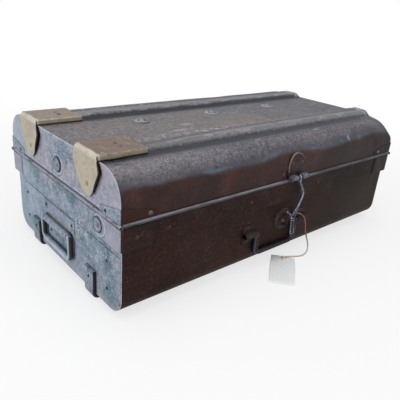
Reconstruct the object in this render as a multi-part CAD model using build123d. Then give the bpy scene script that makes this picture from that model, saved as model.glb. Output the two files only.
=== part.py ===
# A small tin trunk: a sheet-metal base with a collar, a hinged lid with a wired edge, skids, bail handles,
# brass caps on two rib ends, a hasp with a steel tie wire, and a ticket on jute twine.
# X runs along the trunk, -Y is its front, +Z is up. The origin is the centre of the footprint on the floor.
# All sizes are in millimetres.

from build123d import *
import math
import os

# ---- overall sizes ----
trunk_length = 530.0            # over the wired edge of the lid
trunk_depth = 296.0             # over the wired edge of the lid
base_height = 113.0             # underside of the base to the top of its collar
lid_rise = 56.1                 # centre of the wired edge to the flat top of the lid
skid_height = 6.0
sheet = 0.9                     # tin plate of the base and lid
trim_sheet = 0.8                # thinner sheet of caps, corner plates and lap plates

# ---- lid ----
bead_radius = 2.4               # rolled edge, outside
bead_bore = 1.6                 # the wire inside the rolled edge
bead_proud = 3.0                # how far the rolled edge stands out from the lid wall
bead_root = 1.7                 # height above the bead centre where the wall leaves the roll
bead_end_gap = 0.3              # between the long rolls and the end rolls
lid_edge_radius = 33.0
seat_gap = 0.3                  # lid roll above the collar
flange_depth = 12.0             # inner flange of an end panel
rib_offset = 77.0               # rib centre from the middle of the lid
rib_foot = 42.0
rib_top = 23.0
rib_height = 6.0

# ---- base ----
base_inset = 3.4                # base wall behind the lid wall
base_edge_radius = 22.0
rim_rise = 10.0                 # inner upstand above the collar
hem_height = 6.0                # folded safe edge of the upstand
collar_height = 27.5
collar_leg_long = 40.0          # corner plate of the collar, along the long side
collar_leg_end = 28.0           # the same, along the end
lap_top = 75.0                  # top of the end lap plate above the underside of the base
lap_inset = 1.5
lap_chamfer = 23.0

# ---- lid corner plates ----
corner_leg_long = 47.0
corner_leg_end = 40.0
corner_rise = 19.0              # at the corner, above the rolled edge
corner_fall = 9.0               # drop of the top edge towards the end of each leg

# ---- skids ----
skid_offset = 77.0
skid_width = 22.0
skid_wall = 1.2
skid_upturn = 33.0              # height of the turned-up end above the underside of the base
skid_proud = 4.6                # how far the turned-up end stands out
skid_bend = 9.0
skid_edge = 2.0

# ---- bail handles ----
bail_rod = 3.5                  # rod radius
bail_width = 78.0               # between the arm centres
bail_drop = 31.0                # pivot to the centre of the grip
bail_bend = 9.0
stub_bend = 4.6
pivot_height = 51.0             # above the underside of the base
pivot_standoff = 4.6            # pivot centre from the face it is mounted on
pivot_clearance = 0.06
hanger_sheet = 1.0
end_handle_shift = 8.0          # the end handles sit a little behind the middle
inner_stub = 26.0
hanger_half_top = 44.0
hanger_half_low = 31.0
hanger_reach = 23.0             # above and below the pivot
hanger_rivet_top = 37.5
hanger_rivet_low = 24.0
hanger_rivet_rise = 16.0
front_handle_shift = -13.0
outer_stub = 19.0
clip_width = 19.0
clip_reach = 13.0
clip_gap = 1.2                  # between an arm and the clip beside it
clip_rivet_rise = 9.2

# ---- lock plate and staple ----
lock_x = 3.0
lock_height = 57.0
lock_radius = 16.0
lock_sheet = 1.0
lock_rivet_circle = 11.8
staple_rod = 1.6
staple_span = 15.0
staple_reach = 8.6
staple_tail = 3.0
staple_bend = 3.2

# ---- hasp ----
hasp_x = 12.0
hasp_radius = 17.5
hasp_rise = 20.0                # plate centre above the rolled edge
hasp_sheet = 1.2
hasp_width = 36.0
hasp_slot = 10.0
hasp_neck = 5.8                 # below the plate centre, where the straight neck starts
hasp_pin_radius = 1.5
hasp_knuckle = 3.5
hasp_pin_out = 4.2              # pin centre in front of the rolled edge
hasp_pin_up = 4.8               # pin centre above the centre of the rolled edge
hasp_rivet_span = 19.4
hasp_rivet_rise = 3.2
pin_overhang = 0.6

# ---- tie wire hung on the hasp pin ----
tie_rod = 1.1
tie_clearance = 0.06
hook_slack = 0.05               # keeps a short straight run across the top of the hook
tie_seat = 1.5                  # where the hook sits on the pin, from the middle of the hasp
tie_lean = 0.8
tie_loop = 85.0                 # hasp pin to the foot of the loop
tie_waist = 52.0                # hasp pin to the place where the tail is twisted on

# ---- rear hinges ----
hinge_from_end = 97.0           # middle of a hinge from the end of the lid
hinge_width = 50.0
hinge_sheet = 1.2
hinge_knuckle = 3.6
hinge_pin_radius = 1.6
hinge_out = 4.4                 # pin centre behind the rolled edge
hinge_leaf_lid = 26.0
hinge_leaf_base = 22.0
hinge_joint_gap = 0.4
hinge_clearance = 0.06
hinge_rivet_span = 34.0

# ---- brass caps ----
cap_length = 61.0
cap_width = 52.0
cap_overhang = 0.8
cap_flap_lean = 3.0             # degrees, the front edge of the flap stands off
cap_flap_drop = 52.0            # top of the cap to the tip of its flap
cap_tip_side = 3.0              # the tip in front of the middle of the cap
cap_flap_rear = [               # to the rear of the cap's rear side, depth below its top
    (6.0, 11.0), (6.0, 22.0), (-3.0, 36.0), (-10.0, 45.0), (-17.0, 49.5)]
cap_flap_front = [              # to the rear of the cap's front side, depth below its top
    (16.0, 49.5), (8.5, 43.0), (-6.5, 17.5), (-3.5, 9.0)]

# ---- stiffener under the lid ----
stiffener_width = 20.0
stiffener_thick = 1.5
stiffener_y = 20.0
washer_pitch = 128.0
stiffener_end = 16.0

# ---- fasteners ----
corner_rivet_rise = 7.5         # above the rolled edge
corner_rivet_long = 36.0        # from the corner
corner_rivet_end = 29.0
collar_rivet_near = 70.0        # the inner rivets, from the middle
collar_rivet_in = 62.0          # the outer rivets, from the end of the lid
end_washer_in = 47.0            # from the front of the lid
end_washer_rise = 13.5          # above the lower edge of the collar
lid_washer_rise = 21.5          # above the rolled edge
lap_rivet_in = 29.6             # from the front and rear of the base
lap_rivet_top = 60.0            # above the underside of the base
lap_rivet_low = 24.0
cap_rivet_in = 37.0             # from the end of the lid
cap_rivet_side = 5.5
flap_rivet_drop = 38.0
skid_rivet_rise = 23.0
hinge_rivet_rise = 12.0
lone_rivet_x = -13.0
lone_rivet_rise = 10.5
small_head = 2.6
small_shank = 1.3
large_head = 4.2
large_shank = 2.0
head_rise = 0.42                # dome height as a share of the head radius
tail_thick = 0.7
tail_spread = 1.5               # tail radius as a share of the shank radius
washer_radius = 9.5
washer_thick = 0.8

# ---- twine and ticket ----
twine_radius = 1.0
knot_radius = 3.2
end_knot_radius = 2.4
end_knot_height = 2.6
knot_flat = 0.9                 # where the twine leaves a knot, as a share of the knot's radius
route_share = 0.45              # the part of each run that a bend of the twine may take up
tag_length = 77.0
tag_width = 36.0
tag_thick = 0.6
tag_corner = 3.0
tag_hole = 1.9
tag_hole_in = 7.0
tag_top_x = 9.7                 # middle of the ticket's top edge, right of the staple
tag_top_out = 5.4               # the same, in front of the base
tag_turn = 219.0                # degrees, the way the ticket points

# ---- places worked out from the sizes above ----
lid_length = trunk_length - 2 * bead_proud
lid_depth = trunk_depth - 2 * bead_proud
body_length = lid_length - 2 * base_inset
body_depth = lid_depth - 2 * base_inset
floor_of_base = skid_height
collar_top = floor_of_base + base_height
collar_low = collar_top - collar_height
rim_top = collar_top + rim_rise
bead_z = collar_top + seat_gap + bead_radius
lid_top = bead_z + lid_rise
wall_foot = bead_z + bead_root
bead_y = trunk_depth / 2 - bead_radius
bead_x = trunk_length / 2 - bead_radius
end_face = body_length / 2 + trim_sheet
pivot_z = floor_of_base + pivot_height
hasp_z = bead_z + hasp_rise
hasp_pin_y = -(trunk_depth / 2 + hasp_pin_out)
hasp_pin_z = bead_z + hasp_pin_up
hinge_y = trunk_depth / 2 + hinge_out
lock_z = floor_of_base + lock_height
hinge_x = lid_length / 2 - hinge_from_end
far = 2 * trunk_length          # longer than anything, for cuts

os.makedirs("parts", exist_ok=True)
nodes = {}


def block(x0, x1, y0, y1, z0, z1):
    """A box between six planes."""
    return Pos(x0, y0, z0) * Box(x1 - x0, y1 - y0, z1 - z0, align=(Align.MIN, Align.MIN, Align.MIN))


def rod(start, direction, radius, length):
    """A round rod from a point along a direction."""
    return extrude(Plane(origin=start, z_dir=direction) * Circle(radius), length)


def bent_rod(points, radii, radius):
    """A rod swept along straight runs joined by tangent arcs."""
    corners = [Vector(*point) for point in points]
    path = FilletPolyline(*corners, radius=radii)
    section = Plane(origin=corners[0], z_dir=corners[1] - corners[0]) * Circle(radius)
    return sweep(section, path=path)


def along_x(outline, length):
    """Extrudes an outline drawn in (Y, Z) equally both ways along X."""
    return extrude(Plane.YZ * outline, length / 2, both=True)


def base_outline(gap, top):
    """The base in (Y, Z), drawn in by a gap, with rounded lower edges."""
    half = body_depth / 2 - gap
    low = floor_of_base + gap
    corners = [(-half, top), (-half, low), (half, low), (half, top)]
    face = make_face(Polyline(*corners, close=True))
    return fillet(face.vertices().sort_by(Axis.Y)[:2], base_edge_radius - gap)


def lid_outline(gap, low, with_ribs):
    """The lid in (Y, Z), drawn in by a gap, with rounded upper edges and pressed ribs."""
    half = lid_depth / 2 - gap
    top = lid_top - gap
    face = make_face(Polyline((-half, low), (half, low), (half, top), (-half, top), close=True))
    face = fillet(face.vertices().sort_by(Axis.Y)[-2:], lid_edge_radius - gap)
    if with_ribs:
        for side in (-1, 1):
            face += rib_outline(side * rib_offset, gap)
    return face


def rib_outline(centre, gap):
    """One pressed rib in (Y, Z), standing on the flat top."""
    foot = rib_foot / 2 - gap
    crown = rib_top / 2 - gap / 2
    low = lid_top - gap
    high = low + rib_height
    sunk = low - sheet
    points = [(centre - foot, sunk), (centre - foot, low), (centre - crown, high)]
    points += [(centre + crown, high), (centre + foot, low), (centre + foot, sunk)]
    return make_face(Polyline(*points, close=True))


def rivet(place, grip, head, shank):
    """A domed rivet: head on the outside of a stack of sheets, shank through it, flat tail inside."""
    rise = head * head_rise
    ball = (head * head + rise * rise) / (2 * rise)
    dome = Pos(0, 0, rise - ball) * Sphere(ball)
    dome &= Pos(0, 0, rise / 2) * Box(2 * head, 2 * head, rise)
    stem = Pos(0, 0, -grip / 2) * Cylinder(shank, grip)
    tail = Pos(0, 0, -grip - tail_thick / 2) * Cylinder(shank * tail_spread, tail_thick)
    return place * (dome + stem + tail)


def rivet_hole(place, grip, shank):
    """The hole that a rivet's shank fills."""
    return place * (Pos(0, 0, -grip / 2) * Cylinder(shank, grip))


def front_place(x, z, y):
    """A place on a face that looks to the front."""
    return Plane(origin=(x, y, z), x_dir=(1, 0, 0), z_dir=(0, -1, 0)).location


def rear_place(x, z, y):
    """A place on a face that looks to the rear."""
    return Plane(origin=(x, y, z), x_dir=(1, 0, 0), z_dir=(0, 1, 0)).location


def end_place(side, y, z, x):
    """A place on a face that looks out of one end."""
    return Plane(origin=(side * x, y, z), x_dir=(0, 1, 0), z_dir=(side, 0, 0)).location


def top_place(x, y, z):
    """A place on a face that looks up."""
    return Location((x, y, z))


def fasten(group, place, grip, head, shank, pieces, bedded=False):
    """Adds a rivet to a group and drills the pieces that it holds. A bedded rivet is hammered into them."""
    body = rivet(place, grip, head, shank)
    rivets.setdefault(group, []).append(body)
    hole = body if bedded else rivet_hole(place, grip, shank)
    for name in pieces:
        nodes[name] = nodes[name] - hole


def small_rivet(group, place, grip, pieces, bedded=False):
    fasten(group, place, grip, small_head, small_shank, pieces, bedded)


rivets = {}

# ---- base: wrapped sheet, two end panels and lap plates ----
wrap_length = body_length - 2 * sheet
base_wrap = along_x(base_outline(0, rim_top), wrap_length)
base_wrap -= along_x(base_outline(sheet, rim_top + sheet), wrap_length)
for side in (-1, 1):
    outer = side * (body_depth / 2 - sheet)
    inner = side * (body_depth / 2 - 2 * sheet)
    base_wrap += block(-wrap_length / 2 + flange_depth, wrap_length / 2 - flange_depth,
                       min(outer, inner), max(outer, inner), rim_top - hem_height, rim_top)
nodes["base_wrap_sheet"] = base_wrap


def end_name(side):
    return "left" if side < 0 else "right"


def side_name(side):
    return "front" if side < 0 else "rear"


def end_panel(outline_full, outline_flange, outline_bore, side, outer_x):
    """A flat end with a flange that reaches in behind the wrapped sheet."""
    plate = Pos(side * (outer_x - sheet / 2), 0, 0) * along_x(outline_full, sheet)
    middle = outer_x - sheet - flange_depth / 2
    ring = along_x(outline_flange, flange_depth) - along_x(outline_bore, flange_depth)
    return plate + Pos(side * middle, 0, 0) * ring


for side in (-1, 1):
    nodes[f"base_end_{end_name(side)}"] = end_panel(
        base_outline(0, rim_top), base_outline(sheet, rim_top), base_outline(2 * sheet, rim_top + sheet),
        side, body_length / 2)
    lap = base_outline(lap_inset, floor_of_base + lap_top)
    lap = chamfer(lap.vertices().sort_by(Axis.Y)[-2:].sort_by(Axis.X)[-1:], lap_chamfer)
    nodes[f"end_lap_plate_{end_name(side)}"] = Pos(side * (body_length / 2 + trim_sheet / 2), 0, 0) * along_x(
        lap, trim_sheet)

# ---- base: collar of four channel strips and four corner plates ----
for side in (-1, 1):
    outer = lid_depth / 2
    inner = body_depth / 2
    reach = lid_length / 2
    strip = block(-reach, reach, outer - sheet, outer, collar_low, collar_top)
    for low in (collar_low, collar_top - sheet):
        strip += block(-reach + sheet, reach - sheet, inner, outer, low, low + sheet)
    if side < 0:
        strip = mirror(strip, about=Plane.XZ)
    nodes[f"collar_{side_name(side)}"] = strip

    outer = lid_length / 2
    inner = body_length / 2
    reach = lid_depth / 2 - sheet
    strip = block(outer - sheet, outer, -reach, reach, collar_low, collar_top)
    for low in (collar_low, collar_top - sheet):
        strip += block(inner, outer, -body_depth / 2, body_depth / 2, low, low + sheet)
    if side < 0:
        strip = mirror(strip, about=Plane.YZ)
    nodes[f"collar_{end_name(side)}"] = strip


def corner_plate(long_leg, end_leg, low, high, fall):
    """An L-shaped plate around the front left corner, its top edge falling away along both legs."""
    x = lid_length / 2
    y = lid_depth / 2
    front = Plane.XZ * make_face(Polyline(
        (-x, low), (-x + long_leg, low), (-x + long_leg, high - fall), (-x, high), close=True))
    end = Plane.YZ * make_face(Polyline(
        (-y, low), (-y + end_leg, low), (-y + end_leg, high - fall), (-y, high), close=True))
    front_leg = Pos(0, -y, 0) * extrude(front, trim_sheet)
    end_leg_solid = Pos(-x - trim_sheet, 0, 0) * extrude(end, trim_sheet)
    post = block(-x - trim_sheet, -x, -y - trim_sheet, -y, low, high)
    return front_leg + end_leg_solid + post


def to_corner(piece, x_side, y_side):
    """Moves a piece made for the front left corner to another corner."""
    if x_side > 0:
        piece = mirror(piece, about=Plane.YZ)
    if y_side > 0:
        piece = mirror(piece, about=Plane.XZ)
    return piece


for x_side in (-1, 1):
    for y_side in (-1, 1):
        corner = f"{side_name(y_side)}_{end_name(x_side)}"
        nodes[f"collar_corner_{corner}"] = to_corner(
            corner_plate(collar_leg_long, collar_leg_end, collar_low, collar_top - sheet, 0), x_side, y_side)

# ---- lid: wrapped sheet with rolled edges, two end panels, the wire in the rolls ----
lid_wrap_length = lid_length - 2 * sheet
lid_wrap = along_x(lid_outline(0, wall_foot, True), lid_wrap_length)
lid_wrap -= along_x(lid_outline(sheet, wall_foot - sheet, True), lid_wrap_length)
long_roll = 2 * (bead_x - bead_radius - bead_end_gap)
for side in (-1, 1):
    centre = Pos(0, side * bead_y, bead_z)
    lid_wrap += centre * (Rot(0, 90, 0) * Cylinder(bead_radius, long_roll))
for side in (-1, 1):
    centre = Pos(0, side * bead_y, bead_z)
    lid_wrap -= centre * (Rot(0, 90, 0) * Cylinder(bead_bore, long_roll))
for side in (-1, 1):
    lid_wrap -= Pos(side * bead_x, 0, bead_z) * (Rot(90, 0, 0) * Cylinder(bead_radius, trunk_depth))
nodes["lid_wrap_sheet"] = lid_wrap

edge_wires = []
for side in (-1, 1):
    panel = end_panel(
        lid_outline(0, wall_foot, True), lid_outline(sheet, bead_z + bead_radius, False),
        lid_outline(2 * sheet, wall_foot - sheet, False), side, lid_length / 2)
    panel += Pos(side * bead_x, 0, bead_z) * (Rot(90, 0, 0) * Cylinder(bead_radius, trunk_depth))
    panel -= Pos(side * bead_x, 0, bead_z) * (Rot(90, 0, 0) * Cylinder(bead_bore, trunk_depth))
    nodes[f"lid_end_{end_name(side)}"] = panel
    edge_wires.append(Pos(side * bead_x, 0, bead_z) * (Rot(90, 0, 0) * Cylinder(bead_bore, trunk_depth)))
    edge_wires.append(Pos(0, side * bead_y, bead_z) * (Rot(0, 90, 0) * Cylinder(bead_bore, long_roll)))
nodes["lid_edge_wires"] = Compound(edge_wires)

for x_side in (-1, 1):
    for y_side in (-1, 1):
        corner = f"{side_name(y_side)}_{end_name(x_side)}"
        nodes[f"lid_corner_{corner}"] = to_corner(
            corner_plate(corner_leg_long, corner_leg_end, bead_z + bead_radius, bead_z + corner_rise, corner_fall),
            x_side, y_side)

nodes["lid_stiffener"] = block(
    -washer_pitch - stiffener_end, washer_pitch + stiffener_end,
    stiffener_y - stiffener_width / 2, stiffener_y + stiffener_width / 2,
    lid_top - sheet - stiffener_thick, lid_top - sheet)

# ---- brass caps over the left ends of the two ribs ----
cap_top = lid_top + rib_height + trim_sheet


def brass_cap(centre):
    """A box-shaped cap over a rib end, with a shield-shaped flap down the end of the lid."""
    half = cap_width / 2
    face_x = -lid_length / 2
    lean = math.radians(cap_flap_lean)
    stand_off = cap_width * math.tan(lean)
    right = face_x + cap_length
    plan = make_face(Polyline(
        (face_x - trim_sheet, centre + half), (face_x - trim_sheet - stand_off, centre - half),
        (right, centre - half), (right, centre + half), close=True))
    cap = extrude(Pos(0, 0, lid_top) * plan, cap_top - lid_top)
    inner = make_face(Polyline(
        (face_x, centre + half), (face_x - stand_off, centre - half),
        (right, centre - half), (right, centre + half), close=True))
    inner &= Pos((face_x - stand_off + right) / 2, centre, 0) * Rectangle(
        right - face_x + stand_off, cap_width - 2 * trim_sheet)
    cap -= extrude(Pos(0, 0, lid_top) * inner, cap_top - lid_top - trim_sheet)
    corners = [(0, cap_top)] + [(rear, cap_top - depth) for rear, depth in cap_flap_rear]
    corners += [(-half - cap_tip_side, cap_top - cap_flap_drop)]
    corners += [(rear - cap_width, cap_top - depth) for rear, depth in cap_flap_front] + [(-cap_width, cap_top)]
    shield = make_face(Polyline(*corners, close=True))
    reach = 2 * cap_width
    leaning = shield & Pos(-reach / 2, cap_top) * Rectangle(reach, 2 * reach)
    flat = shield & Pos(reach / 2, cap_top) * Rectangle(reach, 2 * reach)
    place = Pos(face_x, centre + half, 0)
    flap = place * (Rot(0, 0, -cap_flap_lean) * extrude(Plane.YZ * leaning, -trim_sheet))
    return cap + flap + place * extrude(Plane.YZ * flat, -trim_sheet)


for side in (-1, 1):
    nodes[f"brass_cap_{side_name(side)}"] = brass_cap(side * rib_offset)

# ---- skids: pressed channels that run under the base and turn up its ends ----


def channel_solid(width, out, low, high, bend, edge):
    """A block around the lower ends of the trunk, rounded where the channel turns up."""
    solid = block(-out, out, -width / 2, width / 2, low, high)
    turns = solid.edges().filter_by(Axis.Y).sort_by(Axis.Z)[:2]
    solid = fillet(turns, bend)
    if edge:
        faces = solid.faces().filter_by(Axis.Y)
        rims = [e for f in faces for e in f.edges() if e.center().Z < high - edge]
        solid = fillet(rims, edge)
    return solid


for side in (-1, 1):
    out = end_face + skid_proud
    high = floor_of_base + skid_upturn
    skid = channel_solid(skid_width, out, 0, high, skid_bend, skid_edge)
    skid -= channel_solid(skid_width - 2 * skid_wall, out - skid_wall, skid_wall, high - skid_wall,
                          skid_bend - skid_wall, 0)
    skid -= block(-end_face, end_face, -skid_width, skid_width, floor_of_base, far)
    skid += block(end_face, end_face + skid_wall, -skid_width / 4, skid_width / 4, high - skid_wall, high)
    nodes[f"skid_{side_name(side)}"] = Pos(0, side * skid_offset, 0) * skid

# ---- bail handles, drawn on a face at Y = 0 that looks to -Y, pivot at Z = 0 ----


def bail(stub):
    """A U-shaped rod. A positive stub turns the ends outwards, a negative one inwards."""
    arm = bail_width / 2
    points = [(-arm - stub, 0, 0), (-arm, 0, 0), (-arm, 0, -bail_drop)]
    points += [(arm, 0, -bail_drop), (arm, 0, 0), (arm + stub, 0, 0)]
    rod_solid = bent_rod(points, [stub_bend, bail_bend, bail_bend, stub_bend], bail_rod)
    return Pos(0, -pivot_standoff, 0) * rod_solid


def ridge(half_length, centre):
    """The pressed ridge that holds a bail's turned end, and the space inside it."""
    bore = bail_rod + pivot_clearance
    outside = bore + hanger_sheet
    axis = Pos(centre, -pivot_standoff, 0) * Rot(0, 90, 0)
    shell = axis * Cylinder(outside, 2 * half_length)
    shell += block(centre - half_length, centre + half_length, -pivot_standoff, 0, -outside, outside)
    shell &= block(centre - half_length, centre + half_length, -far, 0, -far, far)
    room = axis * Cylinder(bore, 3 * half_length)
    room += block(centre - 2 * half_length, centre + 2 * half_length, -pivot_standoff, far, -bore, bore)
    return shell, room


def end_hanger():
    """The plate of an end handle: wide above the pivot, narrow between the arms, with a ridge across."""
    step = bail_rod + pivot_clearance + 2 * hanger_sheet
    plate = make_face(Polyline(
        (-hanger_half_top, hanger_reach), (-hanger_half_top, step), (-hanger_half_low, step),
        (-hanger_half_low, -hanger_reach), (hanger_half_low, -hanger_reach), (hanger_half_low, step),
        (hanger_half_top, step), (hanger_half_top, hanger_reach), close=True))
    solid = extrude(Plane.XZ * plate, hanger_sheet)
    shell, room = ridge(bail_width / 2 - stub_bend - pivot_clearance, 0)
    return solid + shell - room


def clip_hanger(side):
    """A small clip over one outward-turned end of the front handle."""
    near = bail_width / 2 + bail_rod + clip_gap
    centre = side * (near + clip_width / 2)
    solid = block(centre - clip_width / 2, centre + clip_width / 2, -hanger_sheet, 0, -clip_reach, clip_reach)
    shell, room = ridge(clip_width / 2, centre)
    return solid + shell - room


def place_on_end(piece, side):
    return Pos(side * end_face, end_handle_shift, pivot_z) * (Rot(0, 0, side * 90) * piece)


def place_on_front(piece):
    return Pos(front_handle_shift, -body_depth / 2, pivot_z) * piece


for side in (-1, 1):
    name = end_name(side)
    nodes[f"{name}_handle_plate"] = place_on_end(end_hanger(), side)
    nodes[f"{name}_handle_bail"] = place_on_end(bail(-inner_stub), side)
    nodes[f"front_handle_clip_{name}"] = place_on_front(clip_hanger(side))
nodes["front_handle_bail"] = place_on_front(bail(outer_stub))

# ---- lock plate and staple on the front of the base ----
front_face = -body_depth / 2
nodes["lock_plate"] = rod((lock_x, front_face, lock_z), (0, -1, 0), lock_radius, lock_sheet)
staple_out = front_face - staple_reach
staple_in = front_face + sheet + staple_tail
staple_points = [(lock_x, staple_in, lock_z + staple_span / 2), (lock_x, staple_out, lock_z + staple_span / 2),
                 (lock_x, staple_out, lock_z - staple_span / 2), (lock_x, staple_in, lock_z - staple_span / 2)]
nodes["lock_staple"] = bent_rod(staple_points, staple_bend, staple_rod)
for name in ("lock_plate", "base_wrap_sheet"):
    for side in (-1, 1):
        leg = rod((lock_x, staple_in, lock_z + side * staple_span / 2), (0, -1, 0), staple_rod, staple_reach)
        nodes[name] = nodes[name] - leg

# ---- hasp plate on the lid, its knuckles, pin and tie wire ----
lid_skin = along_x(lid_outline(-hasp_sheet, wall_foot, False), 2 * hasp_width)
lid_skin -= along_x(lid_outline(0, wall_foot - sheet, False), 2 * hasp_width)
tab_top = hasp_pin_z + hasp_knuckle
disc = rod((0, 0, hasp_z), (0, -1, 0), hasp_radius, far)
neck = block(-hasp_width / 2, hasp_width / 2, -far, 0, tab_top - hasp_sheet, hasp_z - hasp_neck)
wall_y = -lid_depth / 2
hasp = lid_skin & (disc + neck)
hasp &= block(-hasp_width, hasp_width, -far, 0, tab_top - hasp_sheet, far)
hasp += block(-hasp_width / 2, hasp_width / 2, hasp_pin_y, wall_y, tab_top - hasp_sheet, tab_top)
knuckle_axis = Pos(0, hasp_pin_y, hasp_pin_z) * Rot(0, 90, 0)
hasp += knuckle_axis * Cylinder(hasp_knuckle, hasp_width)
hasp -= knuckle_axis * Cylinder(hasp_pin_radius, hasp_width)
hasp -= block(-hasp_slot / 2, hasp_slot / 2, -far, 0, 0, tab_top + hasp_sheet)
nodes["hasp_plate"] = Pos(hasp_x, 0, 0) * hasp
hasp_pin = knuckle_axis * Cylinder(hasp_pin_radius, hasp_width + 2 * pin_overhang)
nodes["hasp_pin"] = Pos(hasp_x, 0, 0) * hasp_pin

# The wire starts at its tail, closes a long loop, hooks over the pin and comes back to be twisted at the tail.
hook = hasp_pin_radius + tie_clearance + tie_rod
front_y = hasp_pin_y - hook
rear_y = hasp_pin_y + hook
tie_offsets = [(-17.0, front_y, -tie_waist + 5.5), (-6.0, front_y, -tie_waist - 3.0),
               (-4.2, front_y, -tie_loop + 13.5), (-3.0, front_y, -tie_loop), (5.5, front_y + tie_lean, -tie_loop),
               (7.0, rear_y, -tie_loop + 18.5), (19.0, rear_y, -34.5), (11.5, rear_y, -14.5),
               (tie_seat, rear_y, -5.0), (tie_seat, rear_y, hook), (tie_seat, front_y, hook),
               (1.0, front_y, -6.0), (14.0, front_y, -25.5), (5.5, front_y, -tie_waist + 9.5),
               (-2.5, front_y, -tie_waist)]
tie_points = [(hasp_x + x, y, hasp_pin_z + z) for x, y, z in tie_offsets]
hook_bend = hook - hook_slack
tie_radii = [4.0, 9.0, 3.9, 3.9, 9.0, 14.0, 14.0, 6.0, hook_bend, hook_bend, 6.0, 12.0, 12.0]
nodes["tie_wire"] = bent_rod(tie_points, tie_radii, tie_rod)

# ---- rear hinges ----
base_tab = collar_top - seat_gap / 3
lid_tab = bead_z + hinge_knuckle
third = hinge_width / 3


def hinge_knuckles(spans, bore):
    """Tubes round the hinge pin, one for each span along X."""
    solid = None
    for low, high in spans:
        tube = Pos((low + high) / 2, hinge_y, bead_z) * (Rot(0, 90, 0) * Cylinder(hinge_knuckle, high - low))
        tube -= Pos((low + high) / 2, hinge_y, bead_z) * (Rot(0, 90, 0) * Cylinder(bore, high - low))
        solid = tube if solid is None else solid + tube
    return solid


def hinge_tabs(spans, low, high, bore):
    """Tabs from the wall out to the knuckles, kept out of the pin hole."""
    solid = None
    for left, right in spans:
        tab = block(left, right, lid_depth / 2, hinge_y, low, high)
        tab -= Pos((left + right) / 2, hinge_y, bead_z) * (Rot(0, 90, 0) * Cylinder(bore, right - left))
        solid = tab if solid is None else solid + tab
    return solid


outer_spans = [(-hinge_width / 2, -third / 2), (third / 2, hinge_width / 2)]
inner_spans = [(-third / 2 + hinge_joint_gap, third / 2 - hinge_joint_gap)]
running_bore = hinge_pin_radius + hinge_clearance
base_leaf = block(-hinge_width / 2, hinge_width / 2, lid_depth / 2, lid_depth / 2 + hinge_sheet,
                  base_tab - hinge_leaf_base, base_tab)
base_leaf += hinge_tabs(outer_spans, base_tab - hinge_sheet, base_tab, hinge_pin_radius)
base_leaf += hinge_knuckles(outer_spans, hinge_pin_radius)
lid_leaf = block(-hinge_width / 2, hinge_width / 2, lid_depth / 2, lid_depth / 2 + hinge_sheet,
                 lid_tab - hinge_sheet, lid_tab + hinge_leaf_lid - hinge_sheet)
lid_leaf += hinge_tabs(inner_spans, lid_tab - hinge_sheet, lid_tab, running_bore)
lid_leaf += hinge_knuckles(inner_spans, running_bore)
hinge_pin = Rot(0, 90, 0) * Cylinder(hinge_pin_radius, hinge_width + 2 * pin_overhang)
hinge_pin = Pos(0, hinge_y, bead_z) * hinge_pin

for side in (-1, 1):
    name = end_name(side)
    nodes[f"hinge_base_leaf_{name}"] = Pos(side * hinge_x, 0, 0) * base_leaf
    nodes[f"hinge_lid_leaf_{name}"] = Pos(side * hinge_x, 0, 0) * lid_leaf
    nodes[f"hinge_pin_{name}"] = Pos(side * hinge_x, 0, 0) * hinge_pin

# ---- rivets and washers ----
washers = {"lid": [], "base": []}


def washer(place):
    return place * (Pos(0, 0, washer_thick / 2) * Cylinder(washer_radius, washer_thick))


def washered_rivet(kind, place, grip, pieces):
    """A large domed rivet that bears on a round washer."""
    ring = washer(place)
    lifted = place * Pos(0, 0, washer_thick)
    full_grip = grip + washer_thick
    washers[kind].append(ring - rivet_hole(lifted, full_grip, large_shank))
    fasten(f"{kind}_rivets", lifted, full_grip, large_head, large_shank, pieces)


for x in (-washer_pitch, 0, washer_pitch):
    washered_rivet("lid", top_place(x, stiffener_y, lid_top), sheet + stiffener_thick,
                   ["lid_wrap_sheet", "lid_stiffener"])
for side in (-1, 1):
    washered_rivet("lid", end_place(side, 0, bead_z + lid_washer_rise, lid_length / 2), sheet,
                   [f"lid_end_{end_name(side)}"])
    place = end_place(side, end_washer_in - lid_depth / 2, collar_low + end_washer_rise, lid_length / 2)
    washered_rivet("base", place, base_inset + sheet,
                   [f"collar_{end_name(side)}", f"base_end_{end_name(side)}"])

corner_rivet_z = bead_z + corner_rivet_rise
collar_rivet_z = collar_low + collar_height / 2
for x_side in (-1, 1):
    for y_side in (-1, 1):
        plate_name = f"lid_corner_{side_name(y_side)}_{end_name(x_side)}"
        face_place = front_place if y_side < 0 else rear_place
        place = face_place(x_side * (lid_length / 2 - corner_rivet_long), corner_rivet_z,
                           y_side * (lid_depth / 2 + trim_sheet))
        small_rivet("lid_rivets", place, trim_sheet + sheet, [plate_name, "lid_wrap_sheet"])
        place = end_place(x_side, y_side * (lid_depth / 2 - corner_rivet_end), corner_rivet_z,
                          lid_length / 2 + trim_sheet)
        small_rivet("lid_rivets", place, trim_sheet + sheet, [plate_name, f"lid_end_{end_name(x_side)}"])

        for reach in (collar_rivet_near, lid_length / 2 - collar_rivet_in):
            place = face_place(x_side * reach, collar_rivet_z, y_side * lid_depth / 2)
            small_rivet("base_rivets", place, base_inset + sheet,
                        [f"collar_{side_name(y_side)}", "base_wrap_sheet"])
        plate_name = f"collar_corner_{side_name(y_side)}_{end_name(x_side)}"
        place = face_place(x_side * (lid_length / 2 - collar_leg_long / 2), collar_rivet_z,
                           y_side * (lid_depth / 2 + trim_sheet))
        small_rivet("base_rivets", place, trim_sheet + base_inset + sheet,
                    [plate_name, f"collar_{side_name(y_side)}", "base_wrap_sheet"])

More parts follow.
